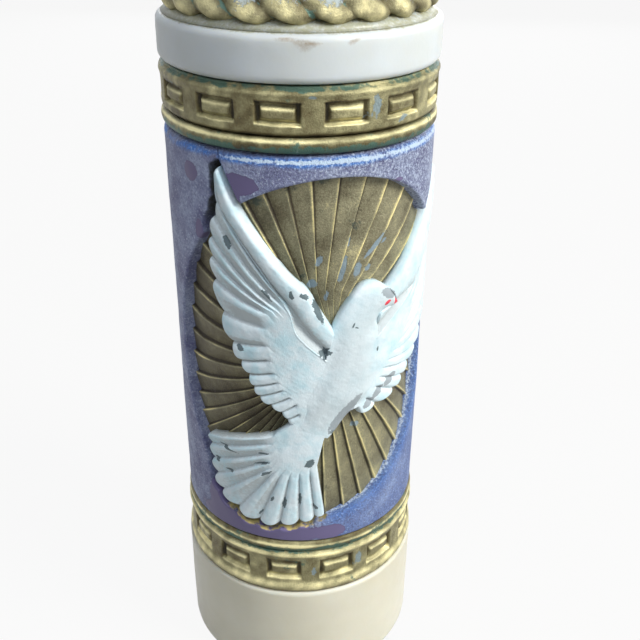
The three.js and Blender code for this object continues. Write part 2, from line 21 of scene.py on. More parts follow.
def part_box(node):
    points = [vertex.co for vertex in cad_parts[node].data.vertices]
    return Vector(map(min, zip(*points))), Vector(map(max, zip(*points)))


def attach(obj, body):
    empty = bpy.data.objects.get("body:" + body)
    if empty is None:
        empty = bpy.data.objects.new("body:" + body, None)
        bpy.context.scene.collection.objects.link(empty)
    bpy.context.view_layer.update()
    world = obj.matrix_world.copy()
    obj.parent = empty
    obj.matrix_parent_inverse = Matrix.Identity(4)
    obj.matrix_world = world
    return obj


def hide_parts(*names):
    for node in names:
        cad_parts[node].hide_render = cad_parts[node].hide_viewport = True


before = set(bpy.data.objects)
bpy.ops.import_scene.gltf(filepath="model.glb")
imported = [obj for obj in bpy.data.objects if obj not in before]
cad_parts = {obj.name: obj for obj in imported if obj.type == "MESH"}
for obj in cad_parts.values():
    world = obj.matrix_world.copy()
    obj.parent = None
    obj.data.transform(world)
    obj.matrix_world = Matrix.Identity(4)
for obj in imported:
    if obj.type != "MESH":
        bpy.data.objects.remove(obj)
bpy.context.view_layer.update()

MM = 0.001
BODY = "root"

Array = np.ndarray
Fields = dict[str, Array]
log = logging.getLogger("candle")


class Slot(StrEnum):
    """Names of the record's material slots for the pieces made here; nothing in this script uses them."""

    CREAM = "core_wax"
    GOLD = "gold_painted_wax"
    VIOLET = "violet_painted_wax"
    WHITE = "white_painted_wax"
    COTTON = "braided_cotton"


# Places on the candle

@dataclass(frozen=True)
class Ring:
    """Where a ring-shaped piece lies, in mm: its lowest and highest level and its outer radius."""

    bottom: float
    top: float
    radius: float

    @classmethod
    def of(cls, node: str) -> "Ring":
        """Reads the place of a CAD node, whose greatest radius lies on +Y."""
        low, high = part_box(node)
        return cls(low.z / MM, high.z / MM, high.y / MM)

    @property
    def height(self) -> float:
        """The ring's height."""
        return self.top - self.bottom


PANEL = Ring.of("panel_sleeve")
ROPE = Ring.of("rope_ring")
CORE = Ring.of("wax_core")
HIDDEN_RADIUS = PANEL.radius - 3.4


@dataclass(frozen=True)
class Oval:
    """The medallion's leaning oval, in mm of arc and rise about its own centre."""

    half_width: float = 38.7
    half_height: float = PANEL.height / 2 - 5.4
    lean: float = math.radians(19.7)
    level: float = (PANEL.bottom + PANEL.top) / 2 + 0.9
    ground_radius: float = PANEL.radius - 2.1
    seat_radius: float = PANEL.radius - 1.7

    def reach(self, places: Any, angles: Array, margin: float = 0.0) -> Array:
        """Distance from places to the oval's edge in each direction.

        The oval turned upright and divided by its half lengths is the unit circle, where the line
        from a place meets it at the greater root of a quadratic.

        Args:
            places: arc and rise that the directions start from, one for all or one for each.
            angles: directions, counted from +arc towards +rise.
            margin: how far the oval is grown.

        Returns:
            One distance for each angle.
        """
        halves = np.array([self.half_width + margin, self.half_height + margin])
        cosine, sine = math.cos(self.lean), math.sin(self.lean)
        turn = np.array([[cosine, sine], [-sine, cosine]])
        start = np.asarray(places) @ turn / halves
        way = np.stack([np.cos(angles), np.sin(angles)], -1) @ turn / halves
        a = (way * way).sum(-1)
        b = (way * start).sum(-1)
        c = (start * start).sum(-1) - 1
        return (-b + np.sqrt(b * b - a * c)) / a


OVAL = Oval()
UNIT = OVAL.half_height / 100


def wrap(arc: Array, level: Array, radius: Array) -> Array:
    """Points on the candle from arc, level above the base and radius, all in mm.

    Args:
        arc: the way round the candle from its front, to the right.
        level: the height above the base.
        radius: the distance from the axis.

    Returns:
        The points, with x, y and z last.
    """
    arc, level, radius = np.broadcast_arrays(arc, level, radius)
    angle = arc / PANEL.radius
    return np.stack([radius * np.sin(angle), -radius * np.cos(angle), level], -1)


def mix(first: Any, second: Any, share: Any) -> Any:
    """A value between two others, at a share of the way from the first."""
    return first + (second - first) * share


def ease(low: float, high: float, value: Array) -> Array:
    """A smooth step from 0 at low to 1 at high."""
    share = np.clip((value - low) / (high - low), 0, 1)
    return share * share * (3 - 2 * share)


def dome(distance: Array, reach: float) -> Array:
    """A quarter-round edge: 0 at distance 0, rising like a circle to 1 at the reach."""
    share = np.clip(distance / reach, 0, 1)
    return np.sqrt(1 - (1 - share) ** 2)


def bell(distance: Array, width: float) -> Array:
    """A bell curve: 1 at distance 0, falling by e at the width."""
    return np.exp(-(distance / width) ** 2)


def ripple(points: Array, size: float, seed: int) -> Array:
    """A soft uneven field on any surface, about -1 to 1.

    It is the sum of twelve plane waves through space with random directions and wavelengths about
    the given size, so it has no seam round the candle.

    Args:
        points: places in mm, of any shape with a last axis of 3.
        size: the typical wavelength in mm.
        seed: makes the same field each run.

    Returns:
        The field, one value for each place.
    """
    rng = np.random.default_rng(seed)
    ways = rng.normal(size=(12, 3))
    ways /= np.linalg.norm(ways, axis=1, keepdims=True)
    lengths = size * rng.uniform(0.6, 1.7, 12)
    turns = rng.uniform(0, 2 * math.pi, 12)
    waves = np.cos(points @ (ways / lengths[:, None]).T * 2 * math.pi + turns)
    return waves.sum(-1) / math.sqrt(18)


def drawn(*numbers: float) -> Array:
    """Points of the dove's drawing, given in hundredths of the medallion's half height, in mm."""
    return np.array(numbers, float).reshape(-1, 2) * UNIT


def spline(points: Array, places: Array) -> Array:
    """A smooth curve through points, each span a cubic whose slopes join the neighbours.

    The slope at a point is half the way from the point before it to the one after, and an end
    point stands for its own missing neighbour.

    Args:
        points: (..., count, 2), the points to pass through.
        places: shares of the way along, counted by points, 0 to 1.

    Returns:
        (..., places, 2), the curve's points.
    """
    last = points.shape[-2] - 1
    along = np.clip(places, 0, 1) * last
    index = np.minimum(along.astype(int), last - 1)
    t = (along - index)[:, None]
    before = points[..., np.maximum(index - 1, 0), :]
    start = points[..., index, :]
    end = points[..., index + 1, :]
    after = points[..., np.minimum(index + 2, last), :]
    leave, arrive = (end - before) / 2, (after - start) / 2
    cubic = 2 * start - 2 * end + leave + arrive
    square = -3 * start + 3 * end - 2 * leave - arrive
    return ((cubic * t + square) * t + leave) * t + start


def inside_by(loop: Array, places: Array) -> Array:
    """How far places lie inside a closed outline, in mm, and less than zero outside it.

    The distance is the least one to the outline's sides. A place is inside where a level line
    from it crosses the outline an odd number of times.

    Args:
        loop: (count, 2), the outline's points in order.
        places: (..., 2), the places.

    Returns:
        (...), one depth for each place.
    """
    after = np.roll(loop, -1, axis=0)
    way = after - loop
    offset = places[..., None, :] - loop
    share = np.clip((offset * way).sum(-1) / (way * way).sum(-1), 0, 1)
    distance = np.linalg.norm(offset - share[..., None] * way, axis=-1).min(-1)
    x, y = places[..., None, 0], places[..., None, 1]
    spans = (loop[:, 1] > y) != (after[:, 1] > y)
    rise = np.where(way[:, 1] == 0, 1, way[:, 1])
    crossed = spans & (x < loop[:, 0] + (y - loop[:, 1]) * way[:, 0] / rise)
    return np.where(crossed.sum(-1) % 2 == 1, distance, -distance)


# Meshes

@dataclass
class Surface:
    """A mesh in the making: points in mm, faces of three or four corners, and fields on points."""

    points: Array
    faces: list[list[int]]
    fields: Fields = field(default_factory=dict)

    def turn_out(self) -> None:
        """Turns the faces round if they enclose a negative volume."""
        corners = np.array([face[:3] for face in self.faces])
        far = np.array([[face[0], face[2], face[-1]] for face in self.faces])
        total = 0.0
        for three in (corners, far):
            a, b, c = (self.points[three[:, k]] for k in range(3))
            total += float((a * np.cross(b, c)).sum())
        if total < 0:
            self.faces = [face[::-1] for face in self.faces]


def grid_faces(rows: int, columns: int, wrap_rows: bool, wrap_columns: bool) -> Array:
    """Four-cornered faces of a grid of points counted row by row.

    Args:
        rows: how many rows of points.
        columns: how many points in a row.
        wrap_rows: whether the last row joins the first.
        wrap_columns: whether each row's last point joins its first.

    Returns:
        (faces, 4), point numbers.
    """
    i = np.arange(rows if wrap_rows else rows - 1)[:, None]
    j = np.arange(columns if wrap_columns else columns - 1)[None, :]
    after_i, after_j = (i + 1) % rows, (j + 1) % columns
    corners = [i * columns + j, i * columns + after_j, after_i * columns + after_j, after_i * columns + j]
    return np.stack(np.broadcast_arrays(*corners), -1).reshape(-1, 4)


def closed_loops(points: Array, fields: Fields) -> Surface:
    """A ring or frame from (around, loop, 3) points: every loop is closed, and so is the way round.

    Args:
        points: (around, loop, 3), the points of each loop.
        fields: point attributes that spread over (around, loop).

    Returns:
        The closed surface.
    """
    around, loop, _ = points.shape
    faces = grid_faces(around, loop, True, True)
    flat = {name: np.broadcast_to(value, (around, loop)).reshape(-1) for name, value in fields.items()}
    return Surface(points.reshape(-1, 3), faces.tolist(), flat)


def lathe(profile: Array, turns: int, shape: Callable[[Array], Array] | None = None) -> Surface:
    """A solid of revolution whose profile starts and ends on the axis.

    Args:
        profile: (count, 2), radius and level in mm; the first and last radius are 0.
        turns: points round each circle.
        shape: gives a change of radius at each point, from the points.

    Returns:
        The surface, with one point at each pole.
    """
    angles = np.linspace(0, 2 * math.pi, turns, endpoint=False)
    arcs = angles * PANEL.radius
    inner = profile[1:-1]
    points = wrap(arcs[None, :], inner[:, 1][:, None], inner[:, 0][:, None])
    if shape is not None:
        grown = 1 + shape(points) / np.maximum(inner[:, 0], 1)[:, None]
        points[..., :2] *= grown[..., None]
    rows = len(inner)
    low, high = rows * turns, rows * turns + 1
    faces = grid_faces(rows, turns, False, True).tolist()
    ends = (rows - 1) * turns
    for k in range(turns):
        after = (k + 1) % turns
        faces.append([low, after, k])
        faces.append([high, ends + k, ends + after])
    poles = np.array([[0, 0, profile[0][1]], [0, 0, profile[-1][1]]], float)
    return Surface(np.concatenate([points.reshape(-1, 3), poles]), faces)


def closed_sheet(front: Array, back: Array, fields: Fields) -> Surface:
    """A thin closed body between a front and a back grid of the same shape, joined at the rim.

    Args:
        front: (rows, columns, 3), the face that shows.
        back: (rows, columns, 3), the face behind it.
        fields: values on the front's points, which the back repeats.

    Returns:
        The closed surface.
    """
    rows, columns, _ = front.shape
    count = rows * columns
    face = grid_faces(rows, columns, False, False)
    top = [[0, j] for j in range(columns)]
    right = [[i, columns - 1] for i in range(1, rows)]
    bottom = [[rows - 1, j] for j in range(columns - 2, -1, -1)]
    left = [[i, 0] for i in range(rows - 2, 0, -1)]
    rim = np.array(top + right + bottom + left)
    loop = rim[:, 0] * columns + rim[:, 1]
    after = np.roll(loop, -1)
    walls = np.stack([after, loop, loop + count, after + count], -1)
    faces = np.concatenate([face, face[:, ::-1] + count, walls])
    both = {name: np.tile(np.broadcast_to(value, (rows, columns)).reshape(-1), 2)
            for name, value in fields.items()}
    points = np.concatenate([front.reshape(-1, 3), back.reshape(-1, 3)])
    return Surface(points, faces.tolist(), both)


def add_piece(name: str, nodes: Sequence[str], surface: Surface, finish: "Finish") -> None:
    """Makes a piece of the candle from a surface, which rides on its body in place of CAD nodes.

    Args:
        name: the piece's own name.
        nodes: the CAD nodes that it stands for.
        surface: its mesh in mm.
        finish: its material.
    """
    surface.turn_out()
    mesh = bpy.data.meshes.new(name)
    mesh.from_pydata((surface.points * MM).tolist(), [], surface.faces)
    mesh.validate()
    mesh.shade_smooth()
    for key, values in surface.fields.items():
        attribute = mesh.attributes.new(key, "FLOAT", "POINT")
        attribute.data.foreach_set("value", values.astype(np.float32))
    mesh.materials.append(finish.material())
    piece = bpy.data.objects.new(name, mesh)
    bpy.context.scene.collection.objects.link(piece)
    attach(piece, BODY)
    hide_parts(*nodes)
    log.info("%s: %d points, for %s", name, len(surface.points), ", ".join(nodes))


# Marks on the paint

@dataclass(frozen=True)
class Mark:
    """An elongated spot at an arc and a rise, in mm, its long half at an angle from +arc."""

    arc: float
    rise: float
    half_length: float
    half_width: float
    degrees: float = 0.0


def marked(marks: Sequence[Mark], arc: Array, rise: Array) -> Array:
    """How deep each place lies in the nearest mark: 1 at a mark's middle, 0 at its edge, to -1.

    Each mark is an ellipse, and the depth is one less the distance in half lengths.

    Args:
        marks: the spots.
        arc: arcs of the places.
        rise: rises of the places.

    Returns:
        The greatest depth over the marks, at least -1.
    """
    depth = np.full(np.broadcast_shapes(np.shape(arc), np.shape(rise)), -1.0)
    for mark in marks:
        turn = math.radians(mark.degrees)
        x, y = arc - mark.arc, rise - mark.rise
        along = (x * math.cos(turn) + y * math.sin(turn)) / mark.half_length
        across = (y * math.cos(turn) - x * math.sin(turn)) / mark.half_width
        depth = np.maximum(depth, 1 - np.hypot(along, across))
    return depth


# Finishes. Patterns read the object's coordinates in mm, so a noise of scale 0.2 makes clouds of
# 5 mm and one of scale 2 a grain of half a millimetre. Bronze powder, brush hairs and stipple are
# a tenth to a third of a millimetre on a real candle, and are drawn coarser so that they show.

# A colour mix has its sockets by number, and every other kind of node is read by one output.
FACTOR, FIRST, SECOND = 0, 6, 7
OUTPUTS: dict[str, str | int] = {
    "Attribute": "Fac", "Background": "Background", "BsdfDiffuse": "BSDF", "BsdfPrincipled": "BSDF",
    "Bump": "Normal", "Emission": "Emission", "MapRange": "Result", "Mapping": "Vector",
    "Math": "Value", "Mix": 2, "MixShader": "Shader", "SeparateXYZ": "Z", "TexCoord": "Object",
    "TexNoise": "Fac", "TexWave": "Fac", "ValToRGB": "Color"}
Tree = bpy.types.NodeTree
Socket = bpy.types.NodeSocket


def linear(hex_colour: str, alpha: float = 1.0) -> tuple[float, float, float, float]:
    """Turns an sRGB hex colour such as #c0ffee to linear light.

    Args:
        hex_colour: the colour, with its hash.
        alpha: the fourth value, given back as it is.

    Returns:
        Red, green, blue and alpha.
    """
    parts = [int(hex_colour[k:k + 2], 16) / 255 for k in (1, 3, 5)]
    red, green, blue = (c / 12.92 if c <= 0.04045 else ((c + 0.055) / 1.055) ** 2.4 for c in parts)
    return red, green, blue, alpha


def add_node(tree: Tree, kind: str, inputs: Mapping[str | int, Any] | None = None,
             stops: Sequence[tuple[float, str]] | None = None, output: str | None = None,
             **settings: Any) -> Socket:
    """Adds a node with its settings, and fills its inputs with values, colours or links.

    Args:
        tree: the node tree.
        kind: the node's type, without the ShaderNode in front.
        inputs: numbers, hex colours or output sockets, by the input's name or number.
        stops: places and hex colours of a colour ramp.
        output: the output to give back, where it isn't the usual one for the kind.
        **settings: the node's own properties.

    Returns:
        The node's output socket.
    """
    node = tree.nodes.new("ShaderNode" + kind)
    for name, value in settings.items():
        setattr(node, name, value)
    for key, value in (inputs or {}).items():
        socket = node.inputs[key]
        if isinstance(value, Socket):
            tree.links.new(value, socket)
        else:
            socket.default_value = linear(value) if isinstance(value, str) else value
    if stops:
        elements = node.color_ramp.elements
        while len(elements) < len(stops):
            elements.new(1.0)
        for element, (place, colour) in zip(elements, stops):
            element.position, element.color = place, linear(colour)
    return node.outputs[output or OUTPUTS[kind]]


@dataclass(frozen=True)
class Finish:
    """A surface finish. Its material is made once, under its own name."""

    name: str

    def material(self) -> bpy.types.Material:
        """The finish's material, made when first asked for.

        Returns:
            The material, the same one at each call.
        """
        found = bpy.data.materials.get(self.name)
        if found:
            return found
        made = bpy.data.materials.new(self.name)
        made.use_nodes = True
        tree = made.node_tree
        tree.nodes.clear()
        output = tree.nodes.new("ShaderNodeOutputMaterial")
        tree.links.new(self.shader(tree), output.inputs["Surface"])
        return made

    def shader(self, tree: Tree) -> Socket:
        """Builds the nodes and returns the shader's output."""
        raise NotImplementedError

    def place(self, tree: Tree) -> Socket:
        """The object's own coordinates, in mm."""
        return add_node(tree, "Mapping", {"Vector": add_node(tree, "TexCoord"), "Scale": (1 / MM,) * 3})

    def frayed(self, tree: Tree, name: str, noise: Socket, gain: float, low: float, high: float,
               most: float = 1.0) -> Socket:
        """The share of a coat that lies where an attribute says, with its edge frayed by a noise.

        The attribute plus the noise times its gain is stretched, from 0 at low to most at high.

        Args:
            tree: the node tree.
            name: the attribute's name.
            noise: the noise that frays the edge.
            gain: what the noise is multiplied by.
            low: the sum where the coat starts.
            high: the sum where it is thickest.
            most: its share there.

        Returns:
            The output that holds the share.
        """
        field_value = add_node(tree, "Attribute", attribute_name=name)
        total = add_node(tree, "Math", {0: noise, 1: gain, 2: field_value}, operation="MULTIPLY_ADD")
        return add_node(tree, "MapRange", {
            "Value": total, "From Min": low, "From Max": high, "To Max": most})

    def coated(self, tree: Tree, ground: Socket | str,
               coats: Sequence[tuple[Socket, Socket | str]]) -> Socket:
        """Lays coats over a ground one after another, each with its share and its colour.

        Args:
            tree: the node tree.
            ground: the colour under the coats.
            coats: the share and the colour of each coat, the lowest first.

        Returns:
            The colour on top.
        """
        for share, colour in coats:
            ground = add_node(tree, "Mix", {FACTOR: share, FIRST: ground, SECOND: colour}, data_type="RGBA")
        return ground


@dataclass(frozen=True)
class CandleWax(Finish):
    """Poured paraffin wax, cream: light goes a few mm into it, which softens every shadow."""

    name: str = "poured_paraffin_wax"
    colour: str = "#dfdccb"
    cool_colour: str = "#d3dade"
    cloud: str = "#d8d2bd"
    smudge: str = "#94836c"
    dust: str = "#a2a288"
    foot_level: float = 30.0
    collar_level: float = CORE.top - 12

    def shader(self, tree: Tree) -> Socket:
        """Cream wax at the foot and cooler wax at the collar, with soot and dust by the rope.

        Args:
            tree: the material's node tree.

        Returns:
            The shader's output.
        """
        place = self.place(tree)
        cloud = add_node(tree, "TexNoise", {"Vector": place, "Scale": 0.05, "Detail": 3.0})
        scuffs = add_node(tree, "TexNoise", {
            "Vector": place, "Scale": 0.35, "Detail": 5.0, "Roughness": 0.6})
        grain = add_node(tree, "TexNoise", {"Vector": place, "Scale": 1.3, "Detail": 6.0, "Roughness": 0.7})
        level = add_node(tree, "SeparateXYZ", {"Vector": place})
        high = add_node(tree, "MapRange", {
            "Value": level, "From Min": self.foot_level, "From Max": self.collar_level})
        body = self.coated(tree, self.colour, [(high, self.cool_colour)])
        cloudy = add_node(tree, "ValToRGB", {"Fac": cloud}, [(0.3, self.cloud), (0.7, "#ffffff")])
        clouded = add_node(tree, "Mix", {FACTOR: 0.35, FIRST: body, SECOND: cloudy},
                           data_type="RGBA", blend_type="MULTIPLY")
        soil = add_node(tree, "Attribute", attribute_name="soil")
        patches = add_node(tree, "Math", {0: soil, 1: grain}, operation="MULTIPLY")
        soiled = add_node(tree, "MapRange", {
            "Value": patches, "From Min": 0.22, "From Max": 0.8, "To Max": 0.9})
        dusted = self.frayed(tree, "dust", grain, 1.2, 0.85, 1.3, 0.95)
        rough = add_node(tree, "MapRange", {
            "Value": scuffs, "From Min": 0.3, "From Max": 0.7, "To Min": 0.32, "To Max": 0.5})
        return add_node(tree, "BsdfPrincipled", {
            "Base Color": self.coated(tree, clouded, [(soiled, self.smudge), (dusted, self.dust)]),
            "Roughness": rough,
            "Normal": add_node(tree, "Bump", {"Height": scuffs, "Distance": 0.00012, "Strength": 0.5}),
            "IOR": 1.44,
            "Subsurface Weight": 0.55,
            "Subsurface Radius": (1.0, 0.82, 0.6),
            "Subsurface Scale": 0.004,
        })


@dataclass(frozen=True)
class BronzePaint(Finish):
    """Bronze powder in varnish, brushed on wax: burnish and painted highlights up high, painted shade in
    hollows.
    """

    name: str = "brushed_bronze_paint"
    # hollow and shadow are colours of painted shade, crest the colour of painted highlight.
    hollow: str = "#2b2618"
    shadow: str = "#5f5637"
    middle: str = "#8b8662"
    crest: str = "#f0e6b0"
    patina: str = "#3d6257"
    bare: str = "#7d8f94"
    grain: float = 0.7
    mottle: float = 0.9
    grain_scale: float = 2.6
    metallic: float = 0.5

    def shader(self, tree: Tree) -> Socket:
        """Colour runs from painted shade in the hollows to painted highlight on the crests; green patina
        and bare grey-blue wax come by noise.

        Args:
            tree: the material's node tree.

        Returns:
            The shader's output.
        """
        place = self.place(tree)
        speckle = add_node(tree, "TexNoise", {
            "Vector": place, "Scale": self.grain_scale, "Detail": 5.0, "Roughness": 0.65})
        mottle = add_node(tree, "TexNoise", {
            "Vector": place, "Scale": 0.28, "Detail": 5.0, "Roughness": 0.62})
        greener = add_node(tree, "TexNoise", {
            "Vector": place, "Scale": 0.6, "Detail": 6.0, "Roughness": 0.68, "W": 3.0},
                           noise_dimensions="4D")
        ragged = add_node(tree, "TexNoise", {
            "Vector": place, "Scale": 1.1, "Detail": 6.0, "Roughness": 0.7})
        # The crest field: painted highlight where it is high, painted shade where it is low.
        relief = add_node(tree, "Attribute", attribute_name="crest")
        lift = add_node(tree, "Math", {0: speckle, 1: self.grain, 2: relief}, operation="MULTIPLY_ADD")
        lifted = add_node(tree, "Math", {0: mottle, 1: self.mottle, 2: lift}, operation="MULTIPLY_ADD")
        half = (self.grain + self.mottle) / 2
        tone = add_node(tree, "MapRange", {"Value": lifted, "From Min": half - 1, "From Max": half + 1})
        paint = add_node(tree, "ValToRGB", {"Fac": tone}, [
            (0.08, self.hollow), (0.30, self.shadow), (0.50, self.middle), (0.92, self.crest)])
        green = self.frayed(tree, "tarnish", greener, 1.3, 0.86, 1.0, 0.85)
        gone = self.frayed(tree, "chip", ragged, 1.3, 0.84, 0.96, 0.9)
        rough = add_node(tree, "MapRange", {
            "Value": speckle, "From Min": 0.3, "From Max": 0.7, "To Min": 0.34, "To Max": 0.56})
        height = add_node(tree, "Math", {0: gone, 1: -0.4, 2: speckle}, operation="MULTIPLY_ADD")
        return add_node(tree, "BsdfPrincipled", {
            "Base Color": self.coated(tree, paint, [(green, self.patina), (gone, self.bare)]),
            "Metallic": add_node(tree, "MapRange", {"Value": gone, "To Min": self.metallic, "To Max": 0.0}),
            "Roughness": rough,
            "Normal": add_node(tree, "Bump", {"Height": height, "Distance": 0.0004, "Strength": 0.7}),
        })


# Both paints carry painted highlights and painted shade from their pieces' crest fields; the rays' dark
# patina also serves as painted shadow along the oval's upper rim.
RAY_PAINT = BronzePaint(
    name="ray_bronze_with_painted_light", hollow="#2c2416", shadow="#5f5942", middle="#8b876b", crest="#efe0a0",
    patina="#39443c", bare="#8094a0", grain=1.05, mottle=0.8, grain_scale=2.7, metallic=0.4)
ROPE_PAINT = BronzePaint(
    name="rope_bronze_with_painted_light", middle="#908a68", shadow="#6a6245", patina="#5c7f74", bare="#a3b0b4",
    grain=0.6, mottle=1.3)


@dataclass(frozen=True)
class PearlPaint(Finish):
    """Pearl pigment stippled on mauve wax: grey lilac with silver flakes, plus painted blue reflection,
    highlights and shadow.
    """

    name: str = "stippled_pearl_paint"
    lilac: str = "#868eae"
    deep: str = "#62658a"
    pale: str = "#a3adc8"
    # blue is the colour of painted sky reflection and gleam of painted highlight.
    blue: str = "#4a82d2"
    gleam: str = "#dceefc"
    flake: str = "#d6dfee"
    pit: str = "#505074"
    mauve: str = "#686086"
    gilt: str = "#c8b678"
    # The colour of painted shadow round the opening on the left.
    opening_shadow: str = "#34362c"

    def shader(self, tree: Tree) -> Socket:
        """Flakes and pits over lilac; painted blue reflection, highlights and shadow by attributes; bare
        mauve wax in chips.

        Args:
            tree: the material's node tree.

        Returns:
            The shader's output.
        """
        place = self.place(tree)
        cloud = add_node(tree, "TexNoise", {
            "Vector": place, "Scale": 0.16, "Detail": 5.0, "Roughness": 0.62})
        stipple = add_node(tree, "TexNoise", {
            "Vector": place, "Scale": 1.9, "Detail": 5.0, "Roughness": 0.66})
        ragged = add_node(tree, "TexNoise", {
            "Vector": place, "Scale": 0.6, "Detail": 6.0, "Roughness": 0.6})
        sheen = add_node(tree, "Attribute", attribute_name="sheen")
        gleam = add_node(tree, "Attribute", attribute_name="gleam")
        ground = add_node(tree, "ValToRGB", {"Fac": cloud}, [
            (0.34, self.deep), (0.52, self.lilac), (0.68, self.pale)])
        # Painted blue sky reflection where the sheen attribute says.
        reflected_blue = self.frayed(tree, "sheen", stipple, 0.9, 0.55, 1.15)
        sunk = add_node(tree, "MapRange", {
            "Value": stipple, "From Min": 0.48, "From Max": 0.34, "To Max": 0.6})
        # Painted glints: more silver flakes where the gleam attribute says.
        bright = add_node(tree, "Math", {0: gleam, 1: 0.22, 2: stipple}, operation="MULTIPLY_ADD")
        spark = add_node(tree, "MapRange", {
            "Value": bright, "From Min": 0.49, "From Max": 0.68, "To Max": 0.85})
        shine = self.coated(tree, self.flake, [(sheen, self.gleam)])
        gone = self.frayed(tree, "chip", ragged, 0.9, 0.60, 0.63)
        # Painted shadow round the opening on the left, from its attribute.
        shadowed = self.frayed(tree, "opening_shadow", ragged, 0.8, 0.62, 1.1, 0.95)
        gilded = self.frayed(tree, "gilt", ragged, 1.0, 0.9, 1.05)
        colour = self.coated(tree, ground, [
            (reflected_blue, self.blue), (sunk, self.pit), (spark, shine), (gone, self.mauve),
            (shadowed, self.opening_shadow), (gilded, self.gilt)])
        grit = add_node(tree, "Math", {0: 1.0, 1: gone}, operation="SUBTRACT")
        height = add_node(tree, "Math", {0: stipple, 1: grit}, operation="MULTIPLY")
        return add_node(tree, "BsdfPrincipled", {
            "Base Color": colour,
            "Metallic": add_node(tree, "MapRange", {"Value": gone, "To Min": 0.25, "To Max": 0.0}),
            "Roughness": add_node(tree, "MapRange", {"Value": gone, "To Min": 0.5, "To Max": 0.34}),
            "Specular IOR Level": 0.3,
            "Normal": add_node(tree, "Bump", {"Height": height, "Distance": 0.0012, "Strength": 0.8}),
        })


@dataclass(frozen=True)
class ChalkPaint(Finish):
    """Matt white acrylic brushed on wax, chipped on the edges, with grey painted shade in the troughs."""

    name: str = "matt_white_acrylic"
    white: str = "#dbe9ef"
    cool: str = "#bddde7"
    # grey is the colour of painted shade over the torso, trough of painted shade in the troughs.
    grey: str = "#c6d2d7"
    trough: str = "#bdc7ca"
    chipped: str = "#5f6f74"
    bald: str = "#9aa4aa"
    red: str = "#e0404e"

    def shader(self, tree: Tree) -> Socket:
        """White with a cool cast by noise, grey painted shade on the torso and troughs, wax in chips, red
        by blush.

        Args:
            tree: the material's node tree.

        Returns:
            The shader's output.
        """
        place = self.place(tree)
        cloud = add_node(tree, "TexNoise", {
            "Vector": place, "Scale": 0.22, "Detail": 5.0, "Roughness": 0.6})
        strokes = add_node(tree, "TexNoise", {
            "Vector": place, "Scale": 1.5, "Detail": 6.0, "Roughness": 0.65})
        ragged = add_node(tree, "TexNoise", {
            "Vector": place, "Scale": 1.6, "Detail": 5.0, "Roughness": 0.65})
        casts = add_node(tree, "MapRange", {
            "Value": cloud, "From Min": 0.42, "From Max": 0.66, "To Max": 0.9})
        # Painted grey shade over the torso.
        torso_shade = add_node(tree, "Attribute", attribute_name="torso_shade")
        # Painted shade in the troughs, its edge frayed by the strokes.
        shaded = self.frayed(tree, "shade", strokes, 1.1, 0.82, 1.22)
        gone = self.frayed(tree, "chip", ragged, 1.5, 0.90, 0.97)
        scraped = self.frayed(tree, "bald", ragged, 0.7, 0.42, 0.50)
        dabbed = self.frayed(tree, "blush", ragged, 0.4, 0.24, 0.34)
        colour = self.coated(tree, self.white, [
            (casts, self.cool), (torso_shade, self.grey), (shaded, self.trough), (gone, self.chipped),
            (scraped, self.bald), (dabbed, self.red)])
        height = add_node(tree, "Math", {0: gone, 1: -0.5, 2: strokes}, operation="MULTIPLY_ADD")
        return add_node(tree, "BsdfPrincipled", {
            "Base Color": colour,
            "Roughness": 0.48,
            "Specular IOR Level": 0.4,
            "Normal": add_node(tree, "Bump", {"Height": height, "Distance": 0.0003, "Strength": 0.4}),
        })


@dataclass(frozen=True)
class WaxedCotton(Finish):
    """Braided cotton soaked in wax: pale, matt, with slanting strands that catch the light."""

    name: str = "waxed_cotton_braid"
    strand: float = 0.9
    # hollow is the colour of painted shade between the strands.
    hollow: str = "#b9ad94"
    crown: str = "#efe8d6"

    def shader(self, tree: Tree) -> Socket:
        """Bands that slant round the wick, a strand apart.

        Args:
            tree: the material's node tree.

        Returns:
            The shader's output.
        """
        bands = add_node(tree, "TexWave", {
            "Vector": self.place(tree), "Scale": 0.5 / self.strand, "Distortion": 0.6, "Detail": 2.0},
                         bands_direction="DIAGONAL")
        return add_node(tree, "BsdfPrincipled", {
            # Painted shade in the hollows between strands, by the same bands as the bump.
            "Base Color": add_node(tree, "ValToRGB", {"Fac": bands}, [
                (0.2, self.hollow), (0.8, self.crown)]),
            "Roughness": 0.8,
            "Normal": add_node(tree, "Bump", {"Height": bands, "Distance": 0.0002, "Strength": 0.7}),
        })


@dataclass(frozen=True)
class Tinplate(Finish):
    """Thin tinned steel, pressed: dull grey with faint rolling lines."""

    name: str = "pressed_tinplate"
    colour: str = "#b9bbb8"

    def shader(self, tree: Tree) -> Socket:
        """Metal with long streaks in its roughness.

        Args:
            tree: the material's node tree.

        Returns:
            The shader's output.
        """
        long = add_node(tree, "Mapping", {"Vector": self.place(tree), "Scale": (0.1, 2.5, 1.0)})
        streaks = add_node(tree, "TexNoise", {"Vector": long, "Scale": 1.0, "Detail": 4.0})
        rough = add_node(tree, "MapRange", {
            "Value": streaks, "From Min": 0.3, "From Max": 0.7, "To Min": 0.3, "To Max": 0.5})
        return add_node(tree, "BsdfPrincipled", {
            "Base Color": self.colour, "Metallic": 1.0, "Roughness": rough})


# Core, wick and rope

